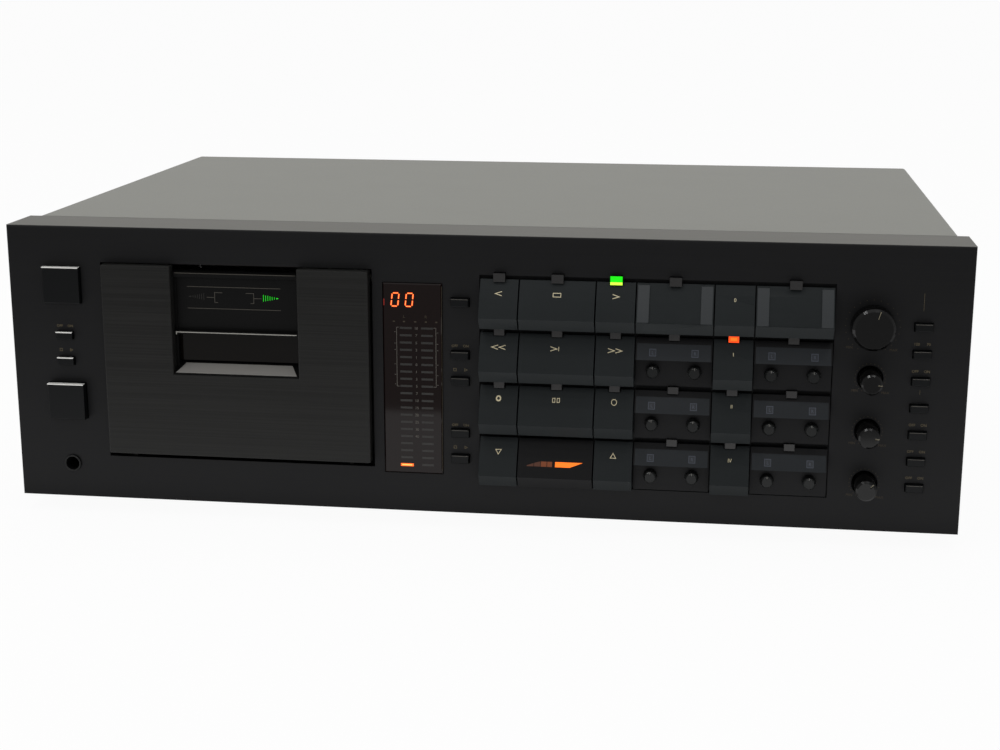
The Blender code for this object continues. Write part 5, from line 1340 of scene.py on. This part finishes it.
@dataclass(frozen=True)
class Studio:
    """Plain pale floor, soft light and a camera where the photograph was taken from."""

    lens: float = 61.15
    place: tuple[float, float, float] = (0.1153, FACE_Y - 0.7625, 0.2657)
    turn: tuple[float, float, float] = (76.19, -0.087, 7.71)
    floor_reach: float = 14.0
    floor_share: float = 0.95
    soft: float = 0.50
    lamps: tuple[Lamp, ...] = (
        Lamp("overhead", (0.0, -0.05, 1.5), (0.0, 0.0, 0.0), 1.6, 1.6, 7.2),
        Lamp("front_fill", (-0.6, -1.5, 1.3), (0.0, -0.1, 0.07), 1.2, 1.2, 6.0),
        Lamp("left_softbox", (-0.80, -0.65, 2.1), (0.0, -0.1, 0.07), 0.10, 0.10, 14.0, glare_only=True),
        Lamp("right_softbox", (0.84, -0.54, 2.1), (0.0, -0.1, 0.07), 0.10, 0.10, 14.0, glare_only=True),
        Lamp("table_glare", (0.0, FACE_Y - 0.110, 0.002), (0.0, FACE_Y - 0.110, 1.0), 0.90, 0.19, 1.2, glare_only=True),
    )

    def build(self, shop: Workshop) -> None:
        """Makes the camera, the floor, the lamps and the world."""
        scene = bpy.context.scene
        camera = bpy.data.objects.new("camera", bpy.data.cameras.new("camera"))
        scene.collection.objects.link(camera)
        camera.data.lens = self.lens
        camera.data.sensor_width = 36.0
        camera.data.clip_start = 0.01
        camera.location = self.place
        camera.rotation_euler = Euler([math.radians(v) for v in self.turn], "XYZ")
        scene.camera = camera
        scene.view_settings.view_transform = "Standard"
        self.build_floor()
        for lamp in self.lamps:
            self.build_lamp(lamp)
        self.build_world()

    def build_lamp(self, lamp: Lamp) -> None:
        """A soft lamp that faces its target and is not itself seen."""
        data = bpy.data.lights.new(lamp.name, "AREA")
        data.shape = "RECTANGLE"
        data.size = lamp.width
        data.size_y = lamp.depth
        data.energy = lamp.power
        made = bpy.data.objects.new(lamp.name, data)
        made.location = lamp.place
        way = Vector(lamp.target) - Vector(lamp.place)
        made.rotation_euler = way.to_track_quat("-Z", "Y").to_euler()
        made.visible_camera = False
        made.visible_diffuse = not lamp.glare_only
        bpy.context.scene.collection.objects.link(made)

    def white_share(self, tree: bpy.types.NodeTree) -> bpy.types.NodeSocket:
        """One for a ray from the camera, a reflection or a clear piece, and zero for the rest."""
        path = add(tree, "ShaderNodeLightPath")
        seen = add(tree, "ShaderNodeMath", {}, {0: path.outputs["Is Camera Ray"], 1: path.outputs["Is Glossy Ray"]},
                   operation="MAXIMUM")
        return add(tree, "ShaderNodeMath", {}, {0: seen.outputs[0], 1: path.outputs["Is Transmission Ray"]},
                   operation="MAXIMUM").outputs[0]

    def build_floor(self) -> None:
        """A wide sheet at height zero, pale to the camera, that keeps the object's shadow."""
        reach = self.floor_reach
        corners = [(-reach, -reach, 0), (reach, -reach, 0), (reach, reach, 0), (-reach, reach, 0)]
        mesh = bpy.data.meshes.new("floor")
        mesh.from_pydata(corners, [], [[0, 1, 2, 3]])
        floor = bpy.data.objects.new("floor", mesh)
        bpy.context.scene.collection.objects.link(floor)
        made = bpy.data.materials.new("pale_paper_floor")
        made.use_nodes = True
        tree = made.node_tree
        tree.nodes.remove(tree.nodes["Principled BSDF"])
        plain = add(tree, "ShaderNodeBsdfDiffuse", {"Color": (0.86, 0.86, 0.86, 1)})
        bright = add(tree, "ShaderNodeEmission", {"Color": (1, 1, 1, 1), "Strength": 1.0})
        share = add(tree, "ShaderNodeMath", {1: self.floor_share}, {0: self.white_share(tree)}, operation="MULTIPLY")
        mixed = add(tree, "ShaderNodeMixShader", {}, {0: share.outputs[0], 1: plain.outputs[0], 2: bright.outputs[0]})
        tree.links.new(mixed.outputs[0], tree.nodes["Material Output"].inputs["Surface"])
        mesh.materials.append(made)

    def build_world(self) -> None:
        """Even soft light, white where the camera or a reflection sees it."""
        world = bpy.data.worlds.new("studio")
        bpy.context.scene.world = world
        world.use_nodes = True
        tree = world.node_tree
        soft = tree.nodes["Background"]
        soft.inputs["Color"].default_value = (1, 1, 1, 1)
        soft.inputs["Strength"].default_value = self.soft
        white = add(tree, "ShaderNodeBackground", {"Color": (1, 1, 1, 1), "Strength": 1.0})
        mixed = add(tree, "ShaderNodeMixShader", {}, {0: self.white_share(tree), 1: soft.outputs[0], 2: white.outputs[0]})
        tree.links.new(mixed.outputs[0], tree.nodes["World Output"].inputs["Surface"])


def main() -> None:
    """Builds every sub-assembly in order."""
    logging.basicConfig(level=logging.INFO)
    shop = Workshop()
    small, large = (6.6 * MM, 5.8 * MM, 7.1 * MM, 6.5 * MM), (9.9 * MM, 9.9 * MM, 9.7 * MM, 10.6 * MM)
    assemblies: list[Any] = [
        Studio(), Case(), FrontFace(), Door(), Meter(), KeyBlock(), Buttons(),
        Knob("master_level_knob", 17.0, 12.1 * MM, large),
        Knob("left_level_knob", 93.0, 6.85 * MM, small),
        Knob("right_level_knob", 93.0, 6.85 * MM, small),
        Knob("output_level_knob", 44.0, 6.85 * MM, small),
        Transport(),
    ]
    for assembly in assemblies:
        assembly.build(shop)


if __name__ == "__main__":
    main()
